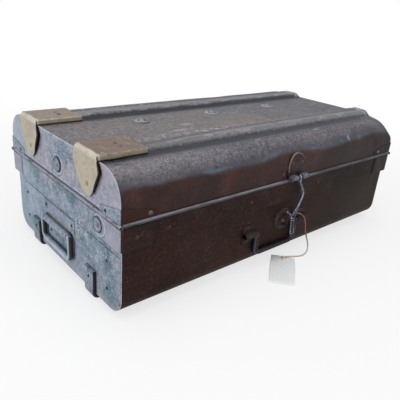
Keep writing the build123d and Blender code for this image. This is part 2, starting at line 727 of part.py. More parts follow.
for side in (-1, 1):
    name = end_name(side)
    for y in (lap_rivet_in - body_depth / 2, body_depth / 2 - lap_rivet_in):
        for rise in (lap_rivet_low, lap_rivet_top):
            small_rivet("base_rivets", end_place(side, y, floor_of_base + rise, end_face), trim_sheet + sheet,
                        [f"end_lap_plate_{name}", f"base_end_{name}"])
    for y in (-skid_offset, skid_offset):
        small_rivet("base_rivets", end_place(side, y, floor_of_base + skid_rivet_rise, end_face + skid_proud),
                    skid_proud + trim_sheet + sheet,
                    [f"skid_{side_name(y)}", f"end_lap_plate_{name}", f"base_end_{name}"])
    for spread, rise in ((hanger_rivet_top, hanger_rivet_rise), (hanger_rivet_low, -hanger_rivet_rise)):
        for hand in (-1, 1):
            small_rivet("handle_rivets",
                        end_place(side, end_handle_shift + hand * spread, pivot_z + rise, end_face + hanger_sheet),
                        hanger_sheet + trim_sheet + sheet,
                        [f"{name}_handle_plate", f"end_lap_plate_{name}", f"base_end_{name}"])
    clip_x = front_handle_shift + side * (bail_width / 2 + bail_rod + clip_gap + clip_width / 2)
    for rise in (-clip_rivet_rise, clip_rivet_rise):
        small_rivet("handle_rivets", front_place(clip_x, pivot_z + rise, front_face - hanger_sheet),
                    hanger_sheet + sheet, [f"front_handle_clip_{name}", "base_wrap_sheet"])
    cap_name = f"brass_cap_{side_name(side)}"
    for hand in (-1, 1):
        small_rivet("cap_rivets",
                    top_place(-lid_length / 2 + cap_rivet_in, side * rib_offset + hand * cap_rivet_side, cap_top),
                    trim_sheet + sheet, [cap_name, "lid_wrap_sheet"])
    flap_out = trim_sheet + (cap_width / 2 + cap_tip_side) * math.tan(math.radians(cap_flap_lean))
    small_rivet("cap_rivets",
                end_place(-1, side * rib_offset - cap_tip_side, cap_top - flap_rivet_drop,
                          lid_length / 2 + flap_out),
                flap_out + sheet, [cap_name, "lid_end_left"], bedded=True)
    small_rivet("hasp_rivets",
                front_place(hasp_x + side * hasp_rivet_span / 2, hasp_z + hasp_rivet_rise, wall_y - hasp_sheet),
                hasp_sheet + sheet, ["hasp_plate", "lid_wrap_sheet"], bedded=True)
    for hand in (-1, 1):
        x = side * hinge_x + hand * hinge_rivet_span / 2
        small_rivet("lid_rivets", rear_place(x, lid_tab + hinge_rivet_rise, lid_depth / 2 + hinge_sheet),
                    hinge_sheet + sheet, [f"hinge_lid_leaf_{name}", "lid_wrap_sheet"])
        small_rivet("base_rivets", rear_place(x, base_tab - hinge_rivet_rise, lid_depth / 2 + hinge_sheet),
                    hinge_sheet + base_inset + sheet,
                    [f"hinge_base_leaf_{name}", "collar_rear", "base_wrap_sheet"])

small_rivet("hasp_rivets", front_place(lone_rivet_x, bead_z + lone_rivet_rise, wall_y), sheet, ["lid_wrap_sheet"])
for quarter in range(4):
    angle = math.radians(45 + 90 * quarter)
    small_rivet("lock_rivets",
                front_place(lock_x + lock_rivet_circle * math.cos(angle),
                            lock_z + lock_rivet_circle * math.sin(angle), front_face - lock_sheet),
                lock_sheet + sheet, ["lock_plate", "base_wrap_sheet"])

for group, solids in rivets.items():
    nodes[group] = Compound(solids)
for kind, rings in washers.items():
    nodes[f"{kind}_washers"] = Compound(rings)

# ---- twine through the staple, and the ticket on its end ----
knot_at = Vector(lock_x - staple_rod - knot_radius, front_face - lock_sheet - knot_radius - seat_gap / 3, lock_z)
tag_top = Vector(lock_x + tag_top_x, front_face - tag_top_out, 0)
heading = Vector(math.cos(math.radians(tag_turn)), math.sin(math.radians(tag_turn)), 0)
end_at = tag_top + heading * tag_hole_in + Vector(0, 0, end_knot_height)
# The route: how far right of the staple, how far in front of the base, and the height.
twine_route = [(6.0, 4.3, lock_z + 0.6), (17.0, 4.8, lock_z + 4.0), (27.5, 7.8, lock_z + 5.0),
               (36.5, 11.4, lock_z - 3.0), (40.8, 12.6, lock_z - 14.0), (41.6, 13.2, lock_z - 25.0),
               (46.5, 13.8, 27.5), (51.0, 15.2, 17.0), (50.0, 18.4, 7.6), (42.5, 21.4, 2.3),
               (32.0, 20.8, 1.2), (22.5, 16.8, 1.4), (13.5, 12.0, 2.2)]
middle_points = [Vector(lock_x + right, front_face - out, height) for right, out, height in twine_route]


def knot_face(centre, toward, radius):
    """Where the twine leaves a knot: the middle of a small flat on the side that it heads for."""
    return centre + (toward - centre).normalized() * radius * knot_flat


def knot(centre, toward, radius):
    """A knot drawn as a ball with a flat where the twine leaves it."""
    beyond = Pos(0, 0, radius * (knot_flat + 1)) * Box(2 * radius, 2 * radius, 2 * radius)
    return Plane(origin=centre, z_dir=toward - centre).location * (Sphere(radius) - beyond)


def route_radii(points):
    """The largest arc at each corner of a route that its two runs leave room for."""
    radii = []
    for before, corner, after in zip(points, points[1:], points[2:]):
        way_in = corner - before
        way_out = after - corner
        turn = math.radians(way_in.get_angle(way_out))
        radii.append(route_share * min(way_in.length, way_out.length) / math.tan(turn / 2))
    return radii


twine_start = knot_face(knot_at, middle_points[0], knot_radius)
twine_stop = knot_face(end_at, middle_points[-1], end_knot_radius)
twine_points = [twine_start] + middle_points + [twine_stop]
twine_bends = route_radii(twine_points)
nodes["jute_twine"] = bent_rod(twine_points, twine_bends, twine_radius)

tag = Pos(-tag_length / 2, 0, 0) * RectangleRounded(tag_length, tag_width, tag_corner)
tag -= Pos(-tag_hole_in, 0, 0) * Circle(tag_hole)
ticket = Pos(*tag_top) * (Rot(0, 0, tag_turn - 180) * extrude(tag, tag_thick))
start_knot = knot(knot_at, middle_points[0], knot_radius)
end_knot = knot(end_at, middle_points[-1], end_knot_radius) - ticket
nodes["twine_knots"] = Compound([start_knot, end_knot])
nodes["paper_ticket"] = ticket

twine_length = nodes["jute_twine"].volume / (math.pi * twine_radius ** 2)
print("twine: tightest bend", round(min(twine_bends), 1), "length", round(twine_length, 1))
for name, shape in nodes.items():
    export_step(shape, f"parts/{name}.step")
print(len(nodes), "nodes")
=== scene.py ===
import math
import bpy
import numpy as np
from mathutils import Matrix, Vector


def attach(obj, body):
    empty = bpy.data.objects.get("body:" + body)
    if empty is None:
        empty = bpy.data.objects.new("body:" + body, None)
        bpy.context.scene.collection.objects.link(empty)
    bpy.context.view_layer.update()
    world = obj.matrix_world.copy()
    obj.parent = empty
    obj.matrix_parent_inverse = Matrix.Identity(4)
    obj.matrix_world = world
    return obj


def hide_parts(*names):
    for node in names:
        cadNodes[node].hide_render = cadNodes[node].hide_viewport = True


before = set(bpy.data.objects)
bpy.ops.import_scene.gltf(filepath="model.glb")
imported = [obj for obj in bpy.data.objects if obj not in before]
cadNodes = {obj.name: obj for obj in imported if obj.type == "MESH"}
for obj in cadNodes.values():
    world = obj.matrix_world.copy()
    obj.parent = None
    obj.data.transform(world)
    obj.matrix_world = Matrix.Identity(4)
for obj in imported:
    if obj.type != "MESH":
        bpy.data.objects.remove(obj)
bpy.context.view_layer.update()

print("frame loaded,", len(cadNodes), "nodes")

cameraView = dict(
    place=(-0.4750433, -0.4968909, 0.3343083),
    right=(0.76245452, -0.64271895, 0.07466897),
    up=(0.20539304, 0.34984403, 0.91401469),
    lens=41.036,          # millimetres on a 36 mm sensor
)

cameraData = bpy.data.cameras.new("camera")
cameraData.sensor_width = 36
cameraData.lens = cameraView["lens"]
cameraData.clip_start, cameraData.clip_end = 0.01, 30
camera = bpy.data.objects.new("camera", cameraData)
rightWay, upWay = Vector(cameraView["right"]), Vector(cameraView["up"])
turn = Matrix((rightWay, upWay, rightWay.cross(upWay))).transposed().to_4x4()
camera.matrix_world = Matrix.Translation(cameraView["place"]) @ turn
bpy.context.scene.collection.objects.link(camera)
bpy.context.scene.camera = camera
bpy.context.scene.view_settings.view_transform = "Standard"
print("camera placed")


def meshPiece(name, points, faces, material, smooth=True):
    # points is an (n, 3) array in metres in the trunk's frame, faces an (m, 4) or (m, 3) array of point numbers
    mesh = bpy.data.meshes.new(name)
    mesh.from_pydata(np.asarray(points, float).tolist(), [], np.asarray(faces, int).tolist())
    mesh.validate()
    mesh.polygons.foreach_set("use_smooth", np.full(len(mesh.polygons), smooth))
    mesh.materials.append(material)
    piece = bpy.data.objects.new(name, mesh)
    bpy.context.scene.collection.objects.link(piece)
    return piece


def gridFaces(rows, columns, wrapRows=False, wrapColumns=False):
    # quads of a grid of rows x columns points, closed on itself where asked
    r = np.arange(rows if wrapRows else rows - 1)
    c = np.arange(columns if wrapColumns else columns - 1)
    r, c = np.meshgrid(r, c, indexing="ij")
    here, ahead = r * columns, (r + 1) % rows * columns
    nextC = (c + 1) % columns
    return np.stack([here + c, here + nextC, ahead + nextC, ahead + c], -1).reshape(-1, 4)


def unit(vectors):
    # each vector divided by its own length
    return vectors / np.maximum(np.linalg.norm(vectors, axis=-1, keepdims=True), 1e-12)


def soften(value):
    # 0 below 0, 1 above 1, and a smooth step between
    value = np.clip(value, 0, 1)
    return value * value * (3 - 2 * value)


def evenly(dense, count):
    # the same line with its points the same distance apart
    steps = np.r_[0, np.cumsum(np.linalg.norm(np.diff(dense, axis=0), axis=1))]
    wanted = np.linspace(0, steps[-1], count)
    return np.stack([np.interp(wanted, steps, dense[:, k]) for k in range(dense.shape[1])], -1)


def carriedFrames(path):
    # two directions across the path at each station, each pair turned as little as it can be from the one before
    ahead = unit(np.gradient(path, axis=0))
    side = np.zeros_like(path)
    side[0] = unit(np.cross(ahead[0], (0.31, 0.17, 0.93)))
    for k in range(1, len(path)):
        kept = side[k - 1] - ahead[k] * np.dot(side[k - 1], ahead[k])
        side[k] = kept / max(np.linalg.norm(kept), 1e-12)
    return side, np.cross(ahead, side)


def closedRings(rows, count):
    # triangles of rings laid one after another, and of a fan over each end to the two middle points that follow them
    quads = gridFaces(rows, count, wrapColumns=True)
    turned, size = np.arange(count), rows * count
    following = (turned + 1) % count
    first = np.stack([np.full(count, size), following, turned], -1)
    last = np.stack([np.full(count, size + 1), size - count + turned, size - count + following], -1)
    return np.vstack([quads[:, [0, 1, 2]], quads[:, [0, 2, 3]], first, last])


def tubeSurface(path, radius, around=12, roundEnds=True):
    # a ring of the given radius carried along a path, its ends drawn in to a dome
    path = np.asarray(path, float)
    radius = np.broadcast_to(np.asarray(radius, float), (len(path),)).copy()
    side, over = carriedFrames(path)
    ahead = unit(np.gradient(path, axis=0))
    dome = np.linspace(0, math.pi / 2, 5)[:-1] if roundEnds else np.array([math.pi / 6, math.pi / 3])
    bulge = 0.6 if roundEnds else 0.12
    first = path[0] - ahead[0] * radius[0] * np.cos(dome)[:, None] * bulge
    last = path[-1] + ahead[-1] * radius[-1] * np.cos(dome[::-1])[:, None] * bulge
    spread = np.maximum(np.sin(dome), 0.02) if roundEnds else np.array([0.9, 0.985])
    radius = np.r_[radius[0] * spread, radius, radius[-1] * spread[::-1]]
    count = len(dome)
    side, over = (np.pad(way, ((count, count), (0, 0)), "edge") for way in (side, over))
    path = np.vstack([first, path, last])
    angle = np.linspace(0, 2 * math.pi, around, endpoint=False)
    ring = side[:, None] * np.cos(angle)[None, :, None] + over[:, None] * np.sin(angle)[None, :, None]
    points = (path[:, None] + ring * radius[:, None, None]).reshape(-1, 3)
    return np.vstack([points, path[0], path[-1]]), closedRings(len(path), around)


def joined(parts):
    # several surfaces as one
    points = np.vstack([part[0] for part in parts])
    starts = np.cumsum([0] + [len(part[0]) for part in parts])[:-1]
    return points, np.vstack([part[1] + start for part, start in zip(parts, starts)])


def thickSheet(grid, thick):
    # a (rows, columns, 3) surface and its copy pushed back along the normals, joined round the rim
    rows, columns = grid.shape[:2]
    normal = unit(np.cross(np.gradient(grid, axis=0), np.gradient(grid, axis=1)))
    points = np.vstack([grid.reshape(-1, 3), (grid - normal * thick).reshape(-1, 3)])
    face = gridFaces(rows, columns)[:, ::-1]
    size = rows * columns
    number = np.arange(size).reshape(rows, columns)
    rim = np.r_[number[0, :], number[1:, -1], number[-1, -2::-1], number[-2:0:-1, 0]]
    nextRim = np.roll(rim, -1)
    band = np.stack([rim, nextRim, nextRim + size, rim + size], -1)
    return points, np.vstack([face, face[:, ::-1] + size, band])


def roundedLine(corners, radii, runs, turns):
    # straight runs joined by arcs: a corner is cut back both ways by radius / tan(half its opening), an arc between
    corners = np.asarray(corners, float)
    radii = np.asarray(radii, float)[:, None]
    here = corners[1:-1]
    back, ahead = unit(corners[:-2] - here), unit(corners[2:] - here)
    half = np.arccos(np.clip(np.sum(back * ahead, -1, keepdims=True), -1, 1)) / 2
    first, last = here + back * radii / np.tan(half), here + ahead * radii / np.tan(half)
    hub = here + unit(back + ahead) * radii / np.sin(half)
    swing = (math.pi - 2 * half)[:, None]
    share = np.linspace(0, 1, turns)[None, :, None]
    blend = np.sin((1 - share) * swing) * (first - hub)[:, None] + np.sin(share * swing) * (last - hub)[:, None]
    arcs = hub[:, None] + blend / np.maximum(np.sin(swing), 1e-9)
    starts, ends = np.vstack([corners[:1], last]), np.vstack([first, corners[-1:]])
    parts = []
    for k, count in enumerate(runs):
        along = np.linspace(0, 1, count + 2)[1:-1, None]
        parts.append(starts[k] * (1 - along) + ends[k] * along)
        if k < len(arcs):
            parts.append(arcs[k])
    return np.vstack([corners[:1], *parts, corners[-1:]])


def dented(points, dents):
    # how far a sheet is pushed in: each dent is a bell, its depth falling off with distance over its own three sizes
    depth = np.zeros(points.shape[:-1])
    for place, size, deep in dents:
        depth += deep * np.exp(-np.sum(((points - place) / size) ** 2, -1))
    return depth


class Link:
    # one output of a node; arithmetic on it adds Math nodes to the same material
    def __init__(self, recipe, socket):
        self.recipe, self.socket = recipe, socket

    def maths(self, operation, *values):
        return self.recipe.node("ShaderNodeMath", {"operation": operation}, dict(enumerate(values)))

    def __add__(self, other): return self.maths("ADD", self, other)
    def __radd__(self, other): return self.maths("ADD", other, self)
    def __sub__(self, other): return self.maths("SUBTRACT", self, other)
    def __rsub__(self, other): return self.maths("SUBTRACT", other, self)
    def __mul__(self, other): return self.maths("MULTIPLY", self, other)
    def __rmul__(self, other): return self.maths("MULTIPLY", other, self)
    def __truediv__(self, other): return self.maths("DIVIDE", self, other)
    def __rtruediv__(self, other): return self.maths("DIVIDE", other, self)
    def __pow__(self, other): return self.maths("POWER", self, other)
    def __rpow__(self, other): return self.maths("POWER", other, self)
    def __abs__(self): return self.maths("ABSOLUTE", self)

    def least(self, other): return self.maths("MINIMUM", self, other)
    def most(self, other): return self.maths("MAXIMUM", self, other)
    def wave(self): return self.maths("COSINE", self)

    def rise(self, low, high):
        # 0 below low, 1 above high, smooth between; low may be the larger of the two
        sockets = {"Value": self, "From Min": low, "From Max": high}
        return self.recipe.node("ShaderNodeMapRange", {"interpolation_type": "SMOOTHSTEP"}, sockets)

    def band(self, start, full, end, fullEnd):
        # 0 at start and at end, 1 between the two full values
        return self.rise(start, full) * self.rise(end, fullEnd)


class Recipe:
    # one material and its nodes, with the paint that names its colours, or the nodes of the tree it is given
    def __init__(self, name, paint=None, tree=None, **fixed):
        self.paint, self.tree = paint, tree
        if tree is not None:
            return
        self.material = bpy.data.materials.new(name)
        self.material.use_nodes = True
        self.tree = self.material.node_tree
        self.shader = self.tree.nodes["Principled BSDF"]
        for socket, value in fixed.items():
            self.shader.inputs[socket.replace("_", " ")].default_value = value
        self.place = self.node("ShaderNodeTexCoord", {}, {}, "Object")
        split = self.node("ShaderNodeSeparateXYZ", {}, {0: self.place}, None)
        self.x, self.y, self.z = (Link(self, split.outputs[k]) for k in range(3))

    def node(self, kind, settings, sockets, output=0):
        # makes a node: its settings first, then its sockets' values or links
        made = self.tree.nodes.new(kind)
        for key, value in settings.items():
            setattr(made, key, value)
        for key, value in sockets.items():
            target = made.inputs[key]
            if isinstance(value, Link):
                self.tree.links.new(value.socket, target)
            else:
                target.default_value = value
        return made if output is None else Link(self, made.outputs[output])

    def at(self, shift, stretch=(1, 1, 1)):
        # the place on the piece, stretched and shifted
        return self.node("ShaderNodeMapping", {}, {"Vector": self.place, "Scale": stretch, "Location": shift})

    def noise(self, scale, detail, rough, shift=(0, 0, 0), stretch=(1, 1, 1)):
        sockets = {"Vector": self.at(shift, stretch), "Scale": scale, "Detail": detail, "Roughness": rough}
        return self.node("ShaderNodeTexNoise", {}, sockets)

    def patches(self, scale, detail, rough, low, high, shift=(0, 0, 0), stretch=(1, 1, 1)):
        # 0 where a noise is under low, 1 where it is over high
        return self.noise(scale, detail, rough, shift, stretch).rise(low, high)

    def cells(self, scale, shift=(0, 0, 0)):
        return self.node("ShaderNodeTexVoronoi", {}, {"Vector": self.at(shift), "Scale": scale})

    def flecks(self, scale, size, share, shift=(0, 0, 0)):
        # small round marks, thick on the ground where a slow noise is high
        crowd = self.patches(scale * 0.11, 3, 0.6, 0.66 - share, 0.76 - share, shift)
        return self.cells(scale, shift).rise(size, size * 0.5) * crowd

    def colour(self, value):
        # a colour of the paint by its name, or an sRGB triple in 0..255, as linear RGBA; links pass through
        if isinstance(value, Link):
            return value
        share = np.asarray(self.paint[value] if isinstance(value, str) else value, float) / 255
        return (*np.where(share <= 0.04045, share / 12.92, ((share + 0.055) / 1.055) ** 2.4).tolist(), 1)

    def mix(self, first, second, amount):
        # colours: first where amount is 0, second where it is 1
        sockets = {0: amount, 6: self.colour(first), 7: self.colour(second)}
        return self.node("ShaderNodeMix", {"data_type": "RGBA"}, sockets, 2)

    def coats(self, ground, *coats):
        # lays coats one over another on a ground, each a colour and how far it covers
        for tone, amount in coats:
            ground = self.mix(ground, tone, amount)
        return ground

    def lean(self, first, second):
        # how far two directions agree
        return self.node("ShaderNodeVectorMath", {"operation": "DOT_PRODUCT"}, {0: first, 1: second}, "Value")

    def wornEdges(self, radius):
        # 1 beside a sharp edge, where the rounded normal leans away from the face's own
        rounded = self.node("ShaderNodeBevel", {"samples": 6}, {"Radius": radius})
        own = self.node("ShaderNodeNewGeometry", {}, {}, "True Normal")
        return (1 - self.lean(rounded, own)).rise(0.02, 0.2)

    def creviceShade(self, reach):
        # 1 where the surface is closed in by others nearer than the reach: the mask for painted shade in corners and
        # gaps
        return self.node("ShaderNodeAmbientOcclusion", {"samples": 6}, {"Distance": reach}, "AO").rise(0.86, 0.6)

    def faceWay(self):
        # the face's own normal, turned with the piece
        own = self.node("ShaderNodeNewGeometry", {}, {}, "True Normal")
        settings = {"vector_type": "NORMAL", "convert_from": "WORLD", "convert_to": "OBJECT"}
        return self.node("ShaderNodeVectorTransform", settings, {0: own})

    def facing(self, axis, low, high):
        # 1 where the face leans along the axis by more than high, 0 where by less than low
        return self.node("ShaderNodeSeparateXYZ", {}, {0: self.faceWay()}, axis).rise(low, high)

    def inward(self):
        # 1 on faces turned to the middle of the trunk
        away = self.node("ShaderNodeVectorMath", {"operation": "SUBTRACT"}, {0: self.place, 1: (0, 0, 0.1)})
        return self.lean(self.faceWay(), away).rise(-0.028, -0.04)

    def fromRim(self, half, edge, level, upward):
        # distance in from the rim of an end: a box of the half width with rounded corners, open to the other way
        across = abs(self.y) - (half - edge)
        over = (self.z - (level - edge)) if upward else ((level + edge) - self.z)
        corner = (across.most(0) ** 2 + over.most(0) ** 2) ** 0.5
        return edge - corner - across.most(over).least(0)

    def away(self, x=None, y=None, z=None, size=(1, 1, 1)):
        # distance from a place, each way in its own size, seen along the way that isn't given
        ways = zip((self.x, self.y, self.z), (x, y, z), size)
        return sum(((way - middle) / wide) ** 2 for way, middle, wide in ways if middle is not None) ** 0.5

    def finish(self, shade, rough=None, bumps=(), soft=0):
        # joins the colour, the roughness and bumps of height, strength and distance, laid over softened edges
        skin = self.node("ShaderNodeBevel", {"samples": 4}, {"Radius": soft}) if soft else None
        for height, strength, distance in bumps:
            sockets = {"Height": height, "Strength": strength, "Distance": distance}
            skin = self.node("ShaderNodeBump", {}, {**sockets, "Normal": skin} if skin else sockets)
        for socket, value in (("Base Color", shade), ("Roughness", rough), ("Normal", skin)):
            if value is not None:
                self.tree.links.new(value.socket, self.shader.inputs[socket])
        return self.material


twine = dict(
    route=[
        (0.00108, -0.1459, 0.06316), (0.009, -0.1459, 0.0636), (0.02, -0.1464, 0.067), (0.0305, -0.1494, 0.068),
        (0.0395, -0.153, 0.06), (0.0438, -0.1542, 0.049), (0.0446, -0.1548, 0.038), (0.0495, -0.1554, 0.0275),
        (0.054, -0.1568, 0.017), (0.053, -0.16, 0.0076), (0.0455, -0.163, 0.0023), (0.035, -0.1624, 0.0012),
        (0.0255, -0.1584, 0.0014), (0.0165, -0.1536, 0.0022), (0.00936, -0.1519, 0.00251),
    ],
    diameter=0.002, strand=0.00062, offset=0.00044, turns=34, strands=3, stations=460,
    tone=(150, 108, 82), dark=(80, 52, 40), pale=(222, 208, 192), length=0.145,
)


def juteFinish():
    # brown at the staple, paler towards the ticket, dark between the fibres
    s = Recipe("juteFibre", twine, Roughness=0.9)
    along = s.noise(900, 4, 0.7)
    shade = s.coats(
        s.mix("dark", "tone", along.rise(0.3, 0.6)),
        ("pale", s.z.rise(0.032, 0.008) * 0.7),
        ("pale", along.rise(0.6, 0.75) * 0.6),
        ("dark", (s.away(x=0.001, z=0.063) ** 2).rise(0.0004, 0.0001) * 0.9))
    return s.finish(shade, bumps=[(along, 0.7, 0.0003)])


def splineLine(name, route):
    # the route's smooth line, read from a spline with the route as its control points
    data = bpy.data.curves.new(name, "CURVE")
    data.dimensions = "3D"
    data.resolution_u = 24
    spline = data.splines.new("NURBS")
    spline.points.add(len(route) - 1)
    for point, place in zip(spline.points, route):
        point.co = (*place, 1)
    spline.order_u = 3
    spline.use_endpoint_u = True
    holder = bpy.data.objects.new(name, data)
    bpy.context.scene.collection.objects.link(holder)
    bpy.context.view_layer.update()
    line = bpy.data.meshes.new_from_object(holder)
    points = np.array([v.co for v in line.vertices], float).reshape(-1, 3)
    bpy.data.objects.remove(holder)
    bpy.data.meshes.remove(line)
    return points


ticket = dict(   # metres and degrees
    top=(0.0127, -0.147), turn=219, length=0.077, width=0.036, thick=0.0004, corner=0.003,
    hole=0.0019, holeIn=0.007, curl=0.0022, cup=0.0008, rings=26, around=96,
    paper=(253, 254, 254), fibre=(244, 246, 247),
)


def paperFinish():
    # blank white card with a faint fibre
    s = Recipe("ticketPaper", ticket, Roughness=0.85, Specular_IOR_Level=0.2)
    fibres = s.noise(500, 4, 0.7)
    return s.finish(s.mix("paper", "fibre", fibres.rise(0.4, 0.7)), bumps=[(fibres, 0.15, 0.0002)])


def ticketCard():
    # rings from the hole out to the rounded edge, each a blend of the two outlines, lifted by a curl along the card
    t = ticket
    angle = np.linspace(0, 2 * math.pi, t["around"], endpoint=False)
    spoke = np.stack([np.cos(angle), np.sin(angle)], -1)
    half = np.array([t["length"] / 2, t["width"] / 2])
    middle = np.array([t["length"] / 2 - t["holeIn"], 0])
    corner = t["corner"]
    # the edge is met where a ray from the card's middle crosses its rounded rectangle
    reach = np.min((half - corner) / np.maximum(np.abs(spoke), 1e-9), -1, keepdims=True)
    edge = spoke * reach
    edge = edge + unit(spoke / np.maximum(half, 1e-9)) * corner
    edge = np.clip(edge, -half, half) + middle
    share = np.linspace(0, 1, t["rings"])[:, None, None]
    flat = spoke * t["hole"] * (1 - share) + edge * share
    along, across = flat[..., 0] + t["holeIn"], flat[..., 1]
    low = t["curl"] * soften((along - 0.035) / 0.045) ** 2 + t["cup"] * (across / half[1]) ** 2 * soften(along / 0.03)
    heading = np.array([math.cos(math.radians(t["turn"])), math.sin(math.radians(t["turn"]))])
    beside = np.array([-heading[1], heading[0]])
    spot = np.array(t["top"]) + along[..., None] * heading + across[..., None] * beside
    under = np.concatenate([spot, (low + 0.0001)[..., None]], -1)
    over = under + (0, 0, t["thick"])
    rings = np.concatenate([over, under[::-1]])
    faces = gridFaces(*rings.shape[:2], wrapRows=True, wrapColumns=True)[:, ::-1]
    return meshPiece("ticketCard", rings.reshape(-1, 3), faces, paperFinish())


juteSkin = juteFinish()
twineLine = splineLine("twineLine", twine["route"])
centre = evenly(twineLine, twine["stations"])
side, over = carriedFrames(centre)
strandParts = []
for k in range(twine["strands"]):
    # a strand winds round the twine's line at a third of a turn from the next
    angle = np.linspace(0, 2 * math.pi * twine["turns"], len(centre)) + 2 * math.pi * k / twine["strands"]
    offset = twine["offset"] * (1 + 0.12 * np.sin(np.linspace(0, 40, len(centre)) + k))
    strand = centre + side * (offset * np.cos(angle))[:, None] + over * (offset * np.sin(angle))[:, None]
    strand[:, 2] = np.maximum(strand[:, 2], twine["strand"])
    thickness = twine["strand"] * (1 + 0.1 * np.sin(np.linspace(0, 90, len(centre)) + 2 * k))
    strandParts.append(tubeSurface(strand, thickness, 8))
juteTwine = meshPiece("juteTwine", *joined(strandParts), juteSkin)
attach(juteTwine, "base")
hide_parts("jute_twine")
card = ticketCard()
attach(card, "base")
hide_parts("paper_ticket")
cadNodes["twine_knots"].data.materials.clear()
cadNodes["twine_knots"].data.materials.append(juteSkin)
print("twine and ticket made,", round(float(np.linalg.norm(np.diff(twineLine, axis=0), axis=1).sum()), 4), "m")


insidePaint = dict(tin=(98, 92, 88), dull=(74, 68, 66), rust=(98, 68, 52))


def withInside(s, outside):
    # faces turned inwards are plain dull tin with clouded patches and rust
    s.paint = insidePaint
    tone = s.mix("dull", "tin", s.patches(26, 5, 0.65, 0.36, 0.62, (4, 2, 6)))
    tone = s.mix(tone, "rust", s.patches(48, 5, 0.7, 0.58, 0.72, (1, 8, 2)) * 0.6)
    return s.mix(outside, tone, s.inward())


lidPaint = dict(
    # the pale dots are painted glints; crown is a painted highlight and foot painted shade on the ribs; band is a
    # painted highlight and low painted shade near the wavy line and on the ribs; bare serves rubs and painted
    # highlights; rollDark is painted shade under the bead, and the pale bead colour is partly wear, partly painted
    # highlight
    brown=(109, 102, 102), slate=(88, 90, 98), warm=(116, 98, 92), dot=(172, 172, 180), pit=(46, 44, 50),
    wall=(54, 31, 27), wallDark=(37, 20, 17), wallRed=(78, 42, 34), wallGrey=(70, 60, 60),
    wallRight=(32, 24, 21), shoulder=(96, 93, 102), shoulderPale=(122, 118, 124), low=(62, 62, 70),
    foot=(34, 38, 47), crown=(118, 120, 128), bare=(186, 184, 184), rust=(104, 62, 48),
    russet=(112, 82, 80), band=(88, 108, 126), shade=(62, 60, 64), roll=(78, 74, 79),
    rollDark=(38, 30, 31), rollWornAndLit=(132, 132, 142), rollFar=(64, 70, 74),
    marks=[   # x, y, z, half width, half height, colour
        # the first mark is a painted highlight on a dent; the next two are the painted shade and painted highlight of a
        # dent below the front cap
        (0.139, -0.1388, 0.1645, 0.0036, 0.007, (146, 158, 176)),
        (-0.249, -0.1185, 0.1772, 0.0055, 0.0024, (44, 38, 38)),
        (-0.25, -0.1205, 0.1768, 0.005, 0.0012, (158, 156, 160)),
        (-0.082, -0.019, 0.1778, 0.011, 0.006, (160, 148, 138)),
        (-0.108, -0.04, 0.1778, 0.016, 0.004, (164, 158, 156)),
        (-0.042, -0.118, 0.1774, 0.006, 0.0018, (150, 142, 146)),
        (0.08, -0.1185, 0.1772, 0.007, 0.0016, (156, 150, 150)),
        (-0.142, -0.048, 0.1778, 0.01, 0.0026, (150, 144, 144)),
    ],
    # the steps place the rib's painted highlight on its crown, painted shade lines and the painted shade on its flanks
    ribSteps=dict(   # steps of shade across a rib, in y from its middle: from, to, and what the rear rib adds to both
        crest=(0.0015, -0.0055, 0.01, 0.006), crestEnd=(-0.0205, -0.0155, 0.004, 0.003),
        crease=(-0.005, -0.002, 0.006, 0.006), creaseEnd=(0.004, 0.001, 0.008, 0.006),
        foot=(-0.015, -0.0222, 0.0035, 0.0055), footEnd=(-0.041, -0.0312, 0.005, 0.0077),
    ),
    # line: the height where the painted reflection of light from above begins on the shoulders
    ribMiddle=0.077, line=0.1575,
    rivets=[(-0.128, 0.02), (0, 0.02), (0.128, 0.02)],
)


